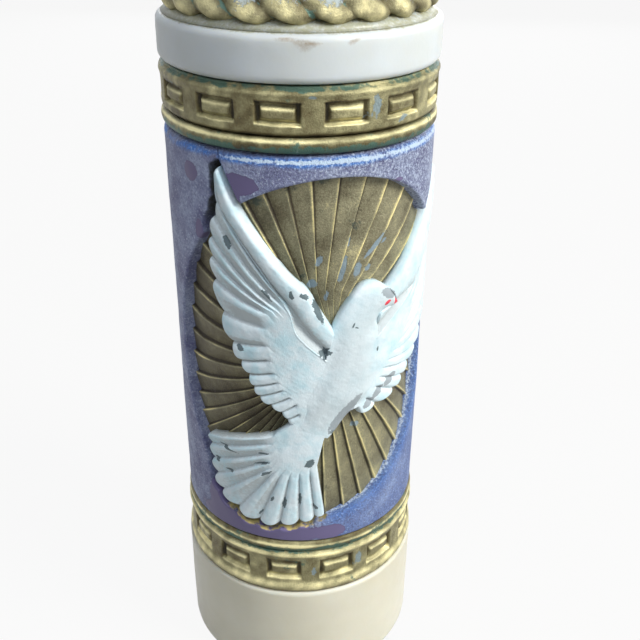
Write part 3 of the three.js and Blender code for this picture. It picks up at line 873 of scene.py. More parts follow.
@dataclass
class WaxPillar:
    """The poured core: foot, waist and collar, with a shallow dish round the wick."""

    core: Ring = CORE
    foot_top: float = PANEL.bottom - 16.8
    foot_radius: float = PANEL.radius + 0.9
    foot_rounding: float = 1.0
    collar_bottom: float = CORE.top - 9.3
    collar_radius: float = PANEL.radius + 0.3
    collar_rounding: float = 1.6
    waist_radius: float = HIDDEN_RADIUS - 0.4
    dish: float = 0.8
    bed: tuple[tuple[float, float], ...] = ((0.3, 0.1), (-0.8, 1.0), (-2.6, 2.2), (-5.6, 2.2), (-7.6, -0.1))
    recess_radius: float = 9.8
    recess_height: float = 1.1
    step: float = 1.2
    turns: int = 288
    smudges: tuple[Mark, ...] = (
        Mark(-3.6, 69.4, 3.6, 0.6, -8), Mark(-3.0, 68.7, 2.2, 0.5, 12), Mark(5.2, 69.6, 1.5, 0.4, 14),
        Mark(-7.5, 70.0, 2.5, 0.4, 0))

    def arc_points(self, centre: tuple[float, float], radius: float, start: float, stop: float) -> list:
        """Seven points of a rounding, from one angle to another in degrees."""
        angles = np.radians(np.linspace(start, stop, 7))
        return [(centre[0] + radius * math.cos(a), centre[1] + radius * math.sin(a)) for a in angles]

    def profile(self) -> Array:
        """The outline from the axis in the base's recess to the axis in the dish.

        Returns:
            (points, 2), radius and level in mm.
        """
        foot = (self.foot_radius - self.foot_rounding, self.foot_rounding)
        inset = self.collar_radius - self.collar_rounding
        low = (inset, self.collar_bottom + self.collar_rounding)
        high = (inset, self.core.top - self.collar_rounding)
        corners = [
            (0, self.recess_height), (self.recess_radius, self.recess_height), (self.recess_radius, 0),
            *self.arc_points(foot, self.foot_rounding, -90, 0),
            (self.foot_radius, self.foot_top), (self.waist_radius, self.foot_top),
            (self.waist_radius, self.collar_bottom),
            *self.arc_points(low, self.collar_rounding, -90, 0),
            *self.arc_points(high, self.collar_rounding, 0, 90),
            *[(ROPE.radius + out, self.core.top + up) for out, up in self.bed],
            (0, self.core.top - self.dish),
        ]
        points = [corners[0]]
        for start, end in zip(corners, corners[1:]):
            count = max(1, int(math.dist(start, end) / self.step))
            way = np.array(end) - start
            points += [tuple(np.array(start) + way * k / count) for k in range(1, count + 1)]
        return np.array(points)

    def build(self) -> None:
        """Makes the core with the slight unevenness of poured wax, and soils the collar."""
        surface = lathe(
            self.profile(), self.turns, lambda p: 0.06 * ripple(p, 22, 3) + 0.02 * ripple(p, 5, 4))
        points = surface.points
        radius = np.hypot(points[:, 0], points[:, 1])
        arc = np.arctan2(points[:, 0], -points[:, 1]) * PANEL.radius
        rise = points[:, 2] - OVAL.level
        past_rope = radius - ROPE.radius
        near_rope = ease(-9, -6, past_rope) * (1 - ease(0.2, 1.3, past_rope))
        high = ease(self.core.top - 1.5, self.core.top - 0.1, points[:, 2])
        surface.fields["dust"] = 0.85 * near_rope * high - 0.2 + 0.1 * ripple(points, 3, 5)
        smudge = np.clip(marked(self.smudges, arc, rise) + 0.55, 0, 1.3)
        surface.fields["soil"] = np.where(radius > ROPE.radius, smudge, 0)
        add_piece("poured_pillar", ["wax_core"], surface, CandleWax())


@dataclass
class Wick:
    """A braided wick that stands in its bore and leans a little above the wax."""

    radius: float = 1.0
    stand: float = 10.0
    lean: float = 1.6
    start: float = 0.6
    strands: int = 3
    lay: float = 3.4
    strand_depth: float = 0.07
    steps: int = 121
    sides: int = 20

    def build(self) -> None:
        """Carries a round section along a smooth line from the sustainer to the tip."""
        top = CORE.top
        knots = np.array([
            [0, self.start], [0, top / 2], [0, top], [self.lean * 0.35, top + self.stand * 0.55],
            [self.lean, top + self.stand]])
        line = spline(knots, np.linspace(0, 1, self.steps))
        turn = np.linspace(0, 2 * math.pi, self.sides, endpoint=False)
        twist = np.cos(self.strands * turn[None, :] + line[:, 1][:, None] * self.lay)
        braid = 1 - self.strand_depth * (1 + twist) / 2
        ends = np.minimum(1, np.linspace(0.2, 60.2, self.steps))[:, None]
        reach = self.radius * braid * np.minimum(ends, ends[::-1])
        points = np.stack([
            line[:, 0][:, None] + reach * np.cos(turn),
            reach * np.sin(turn),
            np.broadcast_to(line[:, 1][:, None], reach.shape)], -1)
        rows, columns, _ = points.shape
        faces = grid_faces(rows, columns, False, True).tolist()
        faces.append(list(range(columns))[::-1])
        faces.append([(rows - 1) * columns + k for k in range(columns)])
        surface = Surface(points.reshape(-1, 3), faces)
        add_piece("braided_wick", ["wick"], surface, WaxedCotton())


@dataclass
class RopeRim:
    """The cast rope: two strands laid round each other along a ring."""

    turns: int = 11
    diameter: float = ROPE.height
    strand_radius: float = 2.9
    foot_spread: float = 0.9
    steps_per_turn: int = 50
    sides: int = 60

    def build(self) -> None:
        """Turns a two-lobed section round the ring: painted shade in creases, painted highlight on crowns.
        """
        steps = self.turns * self.steps_per_turn
        ring = ROPE.radius - self.diameter / 2
        offset = self.diameter / 2 - self.strand_radius
        middle = (ROPE.bottom + ROPE.top) / 2
        around = np.linspace(0, 2 * math.pi, steps, endpoint=False)[:, None]
        lobe = np.linspace(0, 2 * math.pi, self.sides, endpoint=False)[None, :]
        half_chord = np.sqrt(self.strand_radius ** 2 - (offset * np.sin(lobe)) ** 2)
        reach = np.broadcast_to(offset * np.abs(np.cos(lobe)) + half_chord, (steps, self.sides))
        angle = lobe - self.turns * around
        arcs = around * PANEL.radius
        points = wrap(arcs, middle + reach * np.sin(angle), ring + reach * np.cos(angle))
        reach = reach - 0.05 + 0.16 * ripple(points, 4.5, 11) + 0.05 * ripple(points, 1.6, 12)
        reach = np.minimum(reach, self.diameter / 2)
        low_and_out = np.clip(-np.sin(angle), 0, 1) * np.clip(np.cos(angle), 0, 1) * 2
        radius = ring + reach * np.cos(angle) + self.foot_spread * low_and_out
        points = wrap(arcs, middle + reach * np.sin(angle), radius)
        out = reach / (self.diameter / 2)
        # Painted highlight on the strands' crowns and painted shade in the creases between them.
        crest = 2.6 * (out - 0.84) + 0.2 * ripple(points, 3, 14)
        # Bare grey-blue paint, more on the upper side.
        worn = 0.45 * ease(-0.4, 0.6, np.sin(angle)) + 0.22 * ripple(points, 5, 13) - 0.16
        green = 0.5 * (1 - ease(0.62, 0.78, out)) + 0.12 * ripple(points, 9, 15)
        surface = closed_loops(points, {"crest": crest, "chip": worn, "tarnish": green})
        add_piece("cast_rope", ["rope_ring"], surface, ROPE_PAINT)


# Ridges and friezes

def ring_piece(name: str, node: str, levels: Array, columns: int,
               face: Callable[[Array, Array], tuple[Array, Fields]]) -> None:
    """Makes a ring from its outer face, closed by a straight face inside.

    Args:
        name: the piece's own name.
        node: the CAD node that it stands for.
        levels: levels of the outer face's rows, from the bottom.
        columns: points round the candle.
        face: gives radii and fields from arcs (columns, 1) and levels (1, rows).
    """
    arcs = (np.linspace(-math.pi, math.pi, columns, endpoint=False) * PANEL.radius)[:, None]
    radii, fields = face(arcs, levels[None, :])
    outer = wrap(arcs, levels[None, :], radii)
    cast = 0.05 * ripple(outer, 9, 21) + 0.03 * ripple(outer, 3, 22)
    outer[..., :2] *= (1 + cast / radii)[..., None]
    inner = wrap(arcs, levels[[-1, 0]][None, :], np.full((1, 2), HIDDEN_RADIUS))
    points = np.concatenate([outer, inner], axis=1)
    full = {key: np.pad(np.broadcast_to(value, radii.shape), ((0, 0), (0, 2)), mode="edge")
            for key, value in fields.items()}
    add_piece(name, [node], closed_loops(points, full), BronzePaint())


@dataclass
class Bead:
    """A plain round ridge between a frieze and the panel."""

    name: str
    node: str
    # line is the level of the painted highlight above the bead's bottom.
    line: float
    rounding: float = 1.5
    depth: float = 1.1
    rows: int = 26
    columns: int = 420

    def build(self) -> None:
        """A half-round section: a painted highlight along one line, painted shade and tarnish under it."""
        ring = Ring.of(self.node)
        levels = np.linspace(ring.bottom, ring.top, self.rows)

        def face(arcs: Array, level: Array) -> tuple[Array, Fields]:
            """Rounds the shoulders by their distance from the nearer edge.

            Args:
                arcs: arcs round the candle.
                level: levels above the base.

            Returns:
                The radii, and the fields crest, chip and tarnish.
            """
            above = level - ring.bottom
            inside = np.minimum(above, ring.height - above) + 0.1
            radii = ring.radius - self.depth * (1 - dome(inside, self.rounding + 0.1)) + 0 * arcs
            points = wrap(arcs, level, radii)
            uneven = np.clip(1 + 0.4 * ripple(points, 8, 33), 0.3, 1.4)
            # A painted highlight along the line where the round top faces the light, and painted shade on
            # the underside.
            line = bell(above - self.line, 0.4) * uneven
            crest = 1.1 * line - 0.25 + 0.15 * ripple(points, 12, 31) + 0.12 * ripple(points, 2.5, 34)
            crest = crest - 0.3 * (1 - ease(0.4, 1.8, above))
            green = 0.16 * ripple(points, 10, 35) + 0.34 * (1 - ease(0.8, 2.3, above)) + 0.04
            chip = 0.3 * ripple(points, 6, 32) - 0.30
            return radii, {"crest": crest, "chip": chip, "tarnish": green}

        ring_piece(self.name, self.node, levels, self.columns, face)


@dataclass(frozen=True)
class Moulding:
    """A frieze's outline, its windows and where it carries painted highlights, in mm.

    proud is how far the outline stands out from the panel at each of the levels above the
    frieze's bottom. Each painted highlight line in bright has its level, its width and its strength.
    """

    levels: tuple[float, ...]
    proud: tuple[float, ...]
    middle: float
    window: float
    bar: float
    sill: float
    bright: tuple[tuple[float, float, float], ...]


UPPER_WEAR = (
    Mark(10.6, 57.0, 3.2, 1.5, 90), Mark(17.5, 53.6, 2.0, 0.7, 20), Mark(-2.5, 59.5, 1.4, 0.5, 0))
LOWER_WEAR = (
    Mark(10.4, -59.0, 3.0, 1.5, 90), Mark(-8.0, -52.0, 4.0, 0.8, 0), Mark(-1.6, -60.0, 2.0, 0.9, 90))
LOWER_MOULDING = Moulding(
    levels=(0, 0.35, 1.0, 2.0, 3.0, 3.4, 10.8, 11.3, 11.9, 12.3, 12.8),
    proud=(0.3, 0.6, 0.75, 0.65, 0.15, 0.1, 0.1, 0.35, 0.55, 0.3, -0.6),
    middle=7.05, window=6.0, bar=3.4, sill=0.75, bright=((2.0, 1.0, 0.6), (11.8, 0.6, 0.75)))
UPPER_MOULDING = Moulding(
    levels=(0, 0.4, 0.9, 1.5, 6.9, 7.3, 7.9, 8.4, 8.8, 9.1, 9.5),
    proud=(-0.7, -0.15, 0.08, 0.1, 0.1, 0.15, 0.36, 0.3, -0.2, -0.8, -0.95),
    middle=4.35, window=4.5, bar=3.1, sill=0.3, bright=((8.3, 0.3, 0.1),))


@dataclass
class Frieze:
    """A band of sunk windows, each with a raised bar, between a rim and a lip."""

    name: str
    node: str
    moulding: Moulding
    worn: tuple[Mark, ...]
    windows: int = 14
    phase: float = math.radians(8.2)
    window_width: float = 9.0
    bar_width: float = 7.5
    window_depth: float = 0.95
    edge: float = 0.35
    bar_bevel: float = 0.8
    bar_drop: float = 0.15
    softening: tuple[float, ...] = (-0.2, -0.1, 0, 0.1, 0.2)
    rows: int = 84
    columns: int = 900

    def build(self) -> None:
        """Turns the band, sinks its windows and raises a bevelled bar in each."""
        levels = Ring.of(self.node).bottom + np.linspace(0, self.moulding.levels[-1], self.rows)
        ring_piece(self.name, self.node, levels, self.columns, self.face)

    def face(self, arcs: Array, level: Array) -> tuple[Array, Fields]:
        """Radii of the outer face, and the paint on it.

        The radius is the turned profile, less the windows' sink and plus the bars in them. A
        window and a bar are boxes of arc and level, and their walls are smooth steps of the
        distance from the box. The profile is a mean over small shifts, which softens its corners.

        Args:
            arcs: (columns, 1), arcs round the candle.
            level: (1, rows), levels above the base.

        Returns:
            The radii, and the fields crest, chip and tarnish.
        """
        shape = self.moulding
        above = level - Ring.of(self.node).bottom
        turned = sum(np.interp(above + shift, shape.levels, shape.proud) for shift in self.softening)
        turned = turned / len(self.softening)
        pitch = 2 * math.pi * PANEL.radius / self.windows
        from_middle = (arcs - self.phase * PANEL.radius + pitch / 2) % pitch - pitch / 2
        skin = wrap(arcs, level, PANEL.radius)
        wobble = 0.12 * ripple(skin, 14, 41) + 0.06 * ripple(skin, 3, 44)
        across, up = np.abs(from_middle) + wobble, above - shape.middle + wobble
        window = np.maximum(across - self.window_width / 2, np.abs(up) - shape.window / 2)
        bar = np.maximum(across - self.bar_width / 2, np.abs(up) - shape.bar / 2)
        sunk = ease(self.edge * 0.2, -self.edge, window)
        raised = ease(0.1, -self.bar_bevel, bar)
        rise = (self.window_depth - self.bar_drop) * raised * sunk
        radii = PANEL.radius + turned - self.window_depth * sunk + rise
        # Painted highlights and shade along the lines, and the band painted lighter towards the right, the
        # lit side.
        crest = self.rubbed_and_lit(skin, across, up, above) + 0.14 * ease(-24, 18, arcs)
        # Painted shade in each window's hollow round its bar.
        hollow = sunk * (1 - raised)
        crest = crest - hollow * (0.25 + 0.35 * ease(-0.4, 0.1, across - self.bar_width / 2))
        groove = ease(0.45, -0.3, turned) * ease(shape.middle, shape.levels[-1] - 1.2, above)
        green = 0.42 * groove + 0.16 * ripple(skin, 9, 47) - 0.08
        worn = marked(self.worn, arcs, level - OVAL.level) * 0.8 - 0.05
        chip = np.maximum(0.3 * ripple(skin, 6, 43) - 0.32, worn)
        return radii, {"crest": crest, "chip": chip, "tarnish": green}

    def rubbed_and_lit(self, skin: Array, across: Array, up: Array, above: Array) -> Array:
        """Wear, painted highlights and painted shade, by bell curves of the distance from each line.

        Sills, the bars' two long edges and the moulding's own lines carry painted highlights, unevenly
        along the band. The line under a window's head and the band's lowest edge carry painted shade.

        Args:
            skin: places on the plain band, for the unevenness.
            across: arcs from the middle of the nearest window, without their sign.
            up: levels from the middle of the windows.
            above: levels from the bottom of the band.

        Returns:
            The field crest before the windows' hollows.
        """
        shape = self.moulding
        in_window = 1 - ease(-0.2, 0.2, across - self.window_width / 2)
        on_bar = 1 - ease(-0.5, -0.2, across - self.bar_width / 2)
        sill = in_window * bell(up + shape.window / 2 - shape.sill / 2, shape.sill)
        lintel = in_window * bell(up - shape.window / 2, 0.3)
        top_edge = on_bar * bell(up - shape.bar / 2 + 0.65, 0.36)
        low_edge = on_bar * bell(up + shape.bar / 2 - 0.2, 0.25)
        lines = sum(gain * bell(above - at, width) for at, width, gain in shape.bright)
        uneven = np.clip(1 + 0.45 * ripple(skin, 7, 45), 0.2, 1.5)
        crest = uneven * (0.9 * sill + 0.65 * top_edge + 0.45 * low_edge + lines)
        crest = crest - 0.14 - 0.5 * lintel - 0.5 * (1 - ease(0.0, 0.9, above))
        return crest + 0.18 * ripple(skin, 10, 42) + 0.12 * ripple(skin, 2.5, 46)


# The dove's drawing

@dataclass(frozen=True)
class Limb:
    """Two edge curves of a limb, in the dove's drawing."""

    first: Array
    second: Array

    def grid(self, across: Array, along: Array) -> Array:
        """(across, along, 2) places between the first edge and the second."""
        first, second = spline(self.first, along), spline(self.second, along)
        return first[None] + (second - first)[None] * across[:, None, None]

    def outline(self) -> Array:
        """Points once round, up the first edge and down the second."""
        places = np.linspace(0, 1, 60)
        return np.concatenate([spline(self.first, places), spline(self.second, places[::-1])])


@dataclass(frozen=True)
class Fan:
    """A fan of feathers, from a root line over a starting line to a line of tips.

    Each feather rises from the one before it to a crest. The crest moves from near the feather's
    first edge to past its middle, between two places in the fan.
    """

    root: Array
    start: Array
    tip: Array
    feathers: int
    crest_from: float
    crest_to: float
    last_crest: float
    bow: float
    tip_round: float
    covert_share: float = 1 / 3

    def places(self, across: Array) -> tuple[Array, Array]:
        """Each line's feather, counted from 0, and its share of that feather's width."""
        feather = np.minimum(np.floor(across * self.feathers + 1e-6), self.feathers - 1)
        return feather, np.clip(across * self.feathers - feather, 0, 1)

    def crest(self, feather: Array) -> Array:
        """The share of its width at which a feather's crest stands."""
        return mix(0.22, self.last_crest, ease(self.crest_from, self.crest_to, feather / self.feathers))

    def grid(self, across: Array, along: Array) -> Array:
        """Places of the fan's grid.

        Each line runs straight from its root to its start, over the coverts, and from there to its
        tip with a slight bow, a parabola. The tips reach out by a parabola within each feather.

        Args:
            across: shares of the way from the first feather's edge to the last one's.
            along: shares of the way from root to tip.

        Returns:
            (across, along, 2), arc and rise in mm.
        """
        feather, share = self.places(across)
        root, start, end = (spline(line, across)[:, None] for line in (self.root, self.start, self.tip))
        corners = [spline(self.tip, (feather + k) / self.feathers) for k in (0, 1)]
        width = np.linalg.norm(corners[1] - corners[0], axis=1)
        way = end - start
        ahead = way / np.linalg.norm(way, axis=-1, keepdims=True)
        side = np.stack([-way[..., 1], way[..., 0]], -1) * self.bow
        round_end = ahead * (self.tip_round * width * 4 * share * (1 - share))[:, None, None]
        before = np.minimum(along / self.covert_share, 1)[None, :, None]
        t = np.clip((along - self.covert_share) / (1 - self.covert_share), 0, 1)[None, :, None]
        return root + (start - root) * before + way * t + side * 4 * t * (1 - t) + round_end * t

    def outline(self) -> Array:
        """Points along the tips and the two outer lines.

        Returns:
            (points, 2), arc and rise in mm.
        """
        tips = self.grid(np.linspace(0, 1, 240), np.array([1.0]))[:, 0]
        sides = self.grid(np.array([0.0, 1.0]), np.linspace(0.35, 1, 40)).reshape(-1, 2)
        return np.concatenate([tips, sides])


TORSO = Limb(
    drawn(-14.7, -38, -10.5, -23.4, -4.4, -9.6, 1.4, 4.1, 4.1, 17.9,
          10.3, 30.5, 19.7, 41.2, 29.1, 42.8, 38.3, 36.9, 45.4, 27.3),
    drawn(3.2, -44, 14.7, -31.8, 26.1, -22.9, 31.2, -11.9, 31.2, 3,
          30.5, 17.9, 33, 23.8, 38, 25.2, 42.2, 25, 44.9, 25.7))
LEFT_ARM = Limb(
    drawn(4.1, 0.9, -12.6, 17.9, -17.4, 32.3, -29.8, 51.8, -42.6, 69.6, -52.5, 83.8, -53.6, 99.9),
    drawn(6.4, 19.7, -1.8, 33, -7.6, 43.1, -18.1, 52.5, -34.1, 72.2, -44, 86.4, -51.3, 101.7))
RIGHT_ARM = Limb(
    drawn(29.8, 10.5, 44.2, 20.8, 52.9, 25.7, 61.4, 31.4, 76.5, 47, 88, 64.1, 95.3, 83.8),
    drawn(33.2, 34.4, 42.4, 41.2, 51.5, 48.1, 63.7, 58.4, 75.6, 67.6, 85.9, 76.7, 93, 87.1))
LEFT_WING = Fan(
    root=drawn(9.2, 6.9, 2.7, -10.3, -2.7, -21.8, -7.3, -31.2),
    start=drawn(-16.7, 34.8, -22, 32.1, -27.5, 29.8, -27.9, 11.9,
                -24.5, -3.9, -19.9, -13.5, -12.8, -22, -10.1, -32.5),
    tip=drawn(-52.7, 84.8, -59.1, 65.1, -57.7, 42.6, -48.1, 9.9,
              -38.9, -6.9, -33.2, -19.2, -21.5, -27.7, -16.5, -35.1),
    feathers=14, crest_from=0.2, crest_to=0.5, last_crest=0.58, bow=0.03, tip_round=0.17)
RIGHT_WING = Fan(
    root=drawn(25.2, 9.2, 24.3, -9.2, 17.4, -22.9, 10.5, -29.8),
    start=drawn(51.8, 28.4, 58.2, 19.2, 52.2, 6.9, 42.4, -1.8, 35.5, -9.2, 29.8, -18.3, 19.7, -27.9),
    tip=drawn(91.6, 79.3, 99.9, 56.8, 94.8, 27.5, 78.4, -0.5, 60, -14.7, 45.8, -25.9, 21.1, -32.5),
    feathers=12, crest_from=0.2, crest_to=0.5, last_crest=0.58, bow=-0.03, tip_round=0.17)
TAIL = Fan(
    root=drawn(-10.5, -30.7, -4.1, -34.4, 2.7, -36.7),
    start=drawn(-26.1, -42.6, -27.5, -54.5, -27.3, -63.7, -21.5, -66.9, -11.9, -66.4, -2.1, -61.9),
    tip=drawn(-68.5, -55, -66, -70.6, -59.6, -89.8, -35.1, -101.7, -11.9, -99.4, 2.5, -95.1),
    feathers=10, crest_from=0.4, crest_to=0.65, last_crest=0.52, bow=0.0, tip_round=0.22)

DOVE_CHIPS = (
    Mark(0.5, 3.6, 2.0, 0.8, 0), Mark(0.4, 3.4, 1.9, 0.6, 90), Mark(0.3, 3.8, 1.7, 0.6, 45),
    Mark(-1.2, 14.0, 3.6, 0.8, 113), Mark(-6.8, 18.3, 1.4, 0.6, 100), Mark(-4.1, 18.0, 1.4, 0.6, -25),
    Mark(-21.1, 28.2, 1.9, 0.55, 118), Mark(-12.1, 17.6, 2.2, 0.45, -48), Mark(-18.7, 3.5, 1.3, 0.7, -35),
    Mark(6.6, 9.9, 0.9, 0.25, 60), Mark(7.3, 9.3, 0.7, 0.2, -20), Mark(18.3, -7.2, 1.2, 0.5, 35),
    Mark(14.6, -9.3, 1.0, 0.45, 40), Mark(11.8, -11.7, 1.0, 0.4, 30),
    Mark(13.5, 1.9, 0.9, 0.4, 80), Mark(2.9, -17.0, 1.7, 0.9, 40),
    Mark(-27.0, -30.1, 1.3, 0.5, -15), Mark(-23.3, -32.0, 1.4, 0.5, 0), Mark(-23.3, -25.3, 3.9, 0.35, -8),
    Mark(-13.9, -24.1, 2.0, 0.4, 12), Mark(-14.3, -27.0, 2.9, 0.4, 18), Mark(-13.1, -29.6, 2.0, 0.5, 30),
    Mark(-11.7, -36.9, 1.1, 0.4, 60), Mark(-8.8, -37.9, 2.0, 0.6, 80), Mark(-5.1, -36.6, 2.3, 0.5, 88),
    Mark(-1.4, -39.0, 1.0, 0.6, -60), Mark(-2.8, -26.0, 1.8, 1.1, 45), Mark(-14.8, -42.0, 1.1, 0.4, 50),
)
EYE = (Mark(15.3, 13.3, 1.0, 0.6, 20),)
BEAK = (Mark(18.8, 12.6, 1.3, 1.2, 0),)
BALD_PATCHES = (
    Mark(15.6, 15.4, 2.6, 1.2, -30), Mark(5.3, -12.9, 6.6, 1.7, 52), Mark(17.9, -7.7, 2.4, 1.2, 35),
    Mark(14.2, -9.7, 2.2, 1.1, 40), Mark(11.6, -11.9, 2.0, 1.0, 30))


COVERT_HEIGHT = 1.74
BREAST_HEIGHT = 2.45
TAIL_ROOT_HEIGHT = 1.76
SUNK = -0.6
BACK_DEPTH = 0.7


def breast(depth: Array, crown: Any) -> Array:
    """Height above the seat at a depth inside the torso's outline, level with the coverts outside.

    Torso, coverts and tail all follow it where they meet, so no step shows between them.
    """
    return COVERT_HEIGHT + (crown - COVERT_HEIGHT) * ease(0.3, 5.0, depth)


def relief_piece(name: str, node: str, flat: Array, height: Array, fields: Fields,
                 under: Sequence[tuple[Limb, float]] = ()) -> None:
    """Makes a closed piece of the dove from a grid of places and heights above its seat.

    Args:
        name: the piece's own name.
        node: the CAD node that it stands for.
        flat: (rows, columns, 2), arc and rise.
        height: (rows, columns), height above the seat in mm.
        fields: values on the grid's points.
        under: limbs that lie over this piece, and how far inside each of them it has sunk away.
    """
    for limb, reach in under:
        height = mix(height, SUNK, ease(reach * 0.6, reach, inside_by(limb.outline(), flat)))
    arc, rise = flat[..., 0], flat[..., 1]
    level = OVAL.level + rise
    smooth = wrap(arc, level, np.full(height.shape, OVAL.seat_radius))
    uneven = 0.05 * ripple(smooth, 3.2, 51) + 0.06 * ripple(smooth, 8, 52) + 0.02 * ripple(smooth, 1.4, 53)
    front = wrap(arc, level, OVAL.seat_radius + height + uneven)
    back = wrap(arc, level, np.full(height.shape, OVAL.ground_radius - BACK_DEPTH))
    # The torso gets a painted grey shade, from 1.5 mm outside its outline to full 4 mm inside.
    given = {
        "shade": 0.0, "blush": -1.0, "torso_shade": 0.75 * ease(-1.5, 4.0, inside_by(TORSO.outline(), flat)),
        "bald": marked(BALD_PATCHES, arc, rise), "chip": marked(DOVE_CHIPS, arc, rise)} | fields
    full = {key: np.broadcast_to(value, height.shape) for key, value in given.items()}
    add_piece(name, [node], closed_sheet(front, back, full), ChalkPaint())


@dataclass
class Torso:
    """Body, neck and head in one, from the tail's root to the beak."""

    edge: float = 0.5
    root: float = COVERT_HEIGHT
    crown: float = BREAST_HEIGHT
    beak_share: float = 0.55
    shoulder: float = 5.0
    rows: int = 72
    columns: int = 240

    def build(self) -> None:
        """A round back across, which runs out level with the coverts and stands free elsewhere."""
        across, along = np.linspace(0, 1, self.rows), np.linspace(0, 1, self.columns)
        flat = TORSO.grid(across, along)
        depth = np.maximum(inside_by(TORSO.outline(), flat), 0)
        width = np.linalg.norm(flat[-1] - flat[0], axis=-1)
        near = np.minimum(across, 1 - across)[:, None] * width
        share = near / np.minimum(self.shoulder, width / 2)
        at_tail = 1 - ease(0.02, 0.12, along)
        by_left_wing = ease(0.06, 0.14, along) * (1 - ease(0.44, 0.52, along))
        by_right_wing = ease(0.24, 0.32, along) * (1 - ease(0.54, 0.60, along))
        beside = np.where(across[:, None] < 0.5, by_left_wing, by_right_wing)
        blended = np.maximum(beside, at_tail)
        edge_drop = 0.05 * (1 - ease(0.0, 1.0, depth))
        tapered = self.crown * mix(self.beak_share, 1, np.minimum(1, (1 - along) * 7))
        crown = mix(self.root, tapered, ease(0.0, 0.22, along))
        height = mix(mix(self.edge, crown, dome(share, 1.0)), breast(depth, crown) - edge_drop, blended)
        eye = marked(EYE, flat[..., 0], flat[..., 1])
        beak = marked(BEAK, flat[..., 0], flat[..., 1])
        height = height + 0.25 * np.clip(eye, 0, 1)
        fields = {"blush": np.maximum(eye, beak), "shade": 0.25 * (1 - ease(0, 0.5, share)) * (1 - blended)}
        relief_piece("dove_torso", "dove_body", flat, height, fields)


@dataclass
class Arm:
    """A wing's leading edge: a round limb, and near the shoulder a sunk channel behind it."""

    name: str
    node: str
    limb: Limb
    channel_places: tuple[float, ...] = (0.0, 0.17, 0.33, 0.46)
    channel_shares: tuple[float, ...] = (0.3, 0.34, 0.17, 0.03)
    channel: float = 0.8
    bank: float = 1.78
    edge: float = 0.4
    crown: float = BREAST_HEIGHT
    root_crown: float = 2.0
    lean: float = 0.62
    rows: int = 64
    columns: int = 260

    def build(self) -> None:
        """Rounds the limb over its front share, highest nearer its leading edge."""
        across = np.linspace(0, 1, self.rows)[:, None]
        along = np.linspace(0, 1, self.columns)[None, :]
        flat = self.limb.grid(across[:, 0], along[0])
        channel = np.interp(along, self.channel_places, self.channel_shares)
        place = np.clip((across - channel) / (1 - channel), 0, 1)
        side = np.where(place < self.lean, self.lean, 1 - self.lean)
        limb = np.sqrt(np.clip(1 - (np.abs(place - self.lean) / side) ** 2.4, 0, 1))
        crown = mix(self.root_crown, self.crown, ease(0.0, 0.25, along))
        floor = mix(self.channel, self.edge, ease(self.lean, 1.0, place))
        bank = mix(self.bank, self.channel, ease(0.0, 0.75, across / channel))
        floor = np.where(across < channel, bank, floor)
        height = mix(floor, crown, limb)
        height = mix(self.edge, height, dome((1 - along) * 48, 2.0))
        shade = 1.1 * ease(0.0, 0.3, across / channel) * (1 - ease(0.0, 0.16, place))
        shade = shade + 0.5 * ease(0.0, 0.1, place) * (1 - ease(0.1, self.lean, place))
        relief_piece(self.name, self.node, flat, height, {"shade": np.clip(shade, 0, 1)}, [(TORSO, 0.8)])


@dataclass
class Feathers:
    """A fan of feathers: each rises steeply to its crest and falls gently to the next.

    covert and end are heights above the seat at the root and at the tips, trough is how far the
    hollows lie under the crests, and shade how grey they are. over has the limbs on top.
    """

    name: str
    node: str
    fan: Fan
    end: float
    trough: float
    shade: float
    over: tuple[tuple[Limb, float], ...]
    covert: float = COVERT_HEIGHT
    breast_crown: float = BREAST_HEIGHT
    rim: float = 0.3
    samples: int = 18

    def build(self) -> None:
        """Crests and grey faces across the feathers, running out over the coverts."""
        fan = self.fan
        across = np.linspace(0, 1, fan.feathers * self.samples + 1)
        along = np.concatenate([np.linspace(0, 0.3, 20, endpoint=False), np.linspace(0.3, 1, 112)])
        flat = fan.grid(across, along)
        feather, share = (values[:, None] for values in fan.places(across))
        crest = fan.crest(feather)
        v = along[None, :]
        fall = np.clip((share - crest) / (1 - crest), 0, 1)
        rounded = ease(0.25, 0.5, crest)
        climb = dome(share, crest * mix(1, 0.7, rounded))
        shape = np.where(share < crest, climb, 1 - fall ** mix(1.2, 3.2, rounded))
        run = ease(fan.covert_share - 0.05, fan.covert_share + 0.14, v)
        height = mix(self.covert, self.end, v) - self.trough * (1 - shape) * run
        line = np.linalg.norm(np.diff(flat, axis=1), axis=-1).sum(1)
        to_tip = (1 - v) * line[:, None]
        height = mix(self.rim, height, dome(to_tip, 1.0))
        last = (1 - across)[:, None] * fan.feathers * 3.0
        height = mix(self.rim, height, dome(last + 0.05, 0.9))
        depth = inside_by(TORSO.outline(), flat)
        under = breast(depth, self.breast_crown) - 0.02 - 0.1 * ease(0.5, 1.4, depth)
        height = mix(height, under, ease(-2.5, -0.2, depth) * (1 - run))
        face = ease(mix(0.02, 0.35, rounded), mix(0.22, 0.8, rounded), fall)
        slit = 1 - ease(0.0, 0.14, np.minimum(share, 1 - share))
        fade = mix(1.0, 0.45, ease(0.62, 0.95, v) * (1 - rounded))
        shade = self.shade * np.maximum(face * fade, slit) * run
        relief_piece(self.name, self.node, flat, height, {"shade": shade}, self.over)


# Medallion and panel

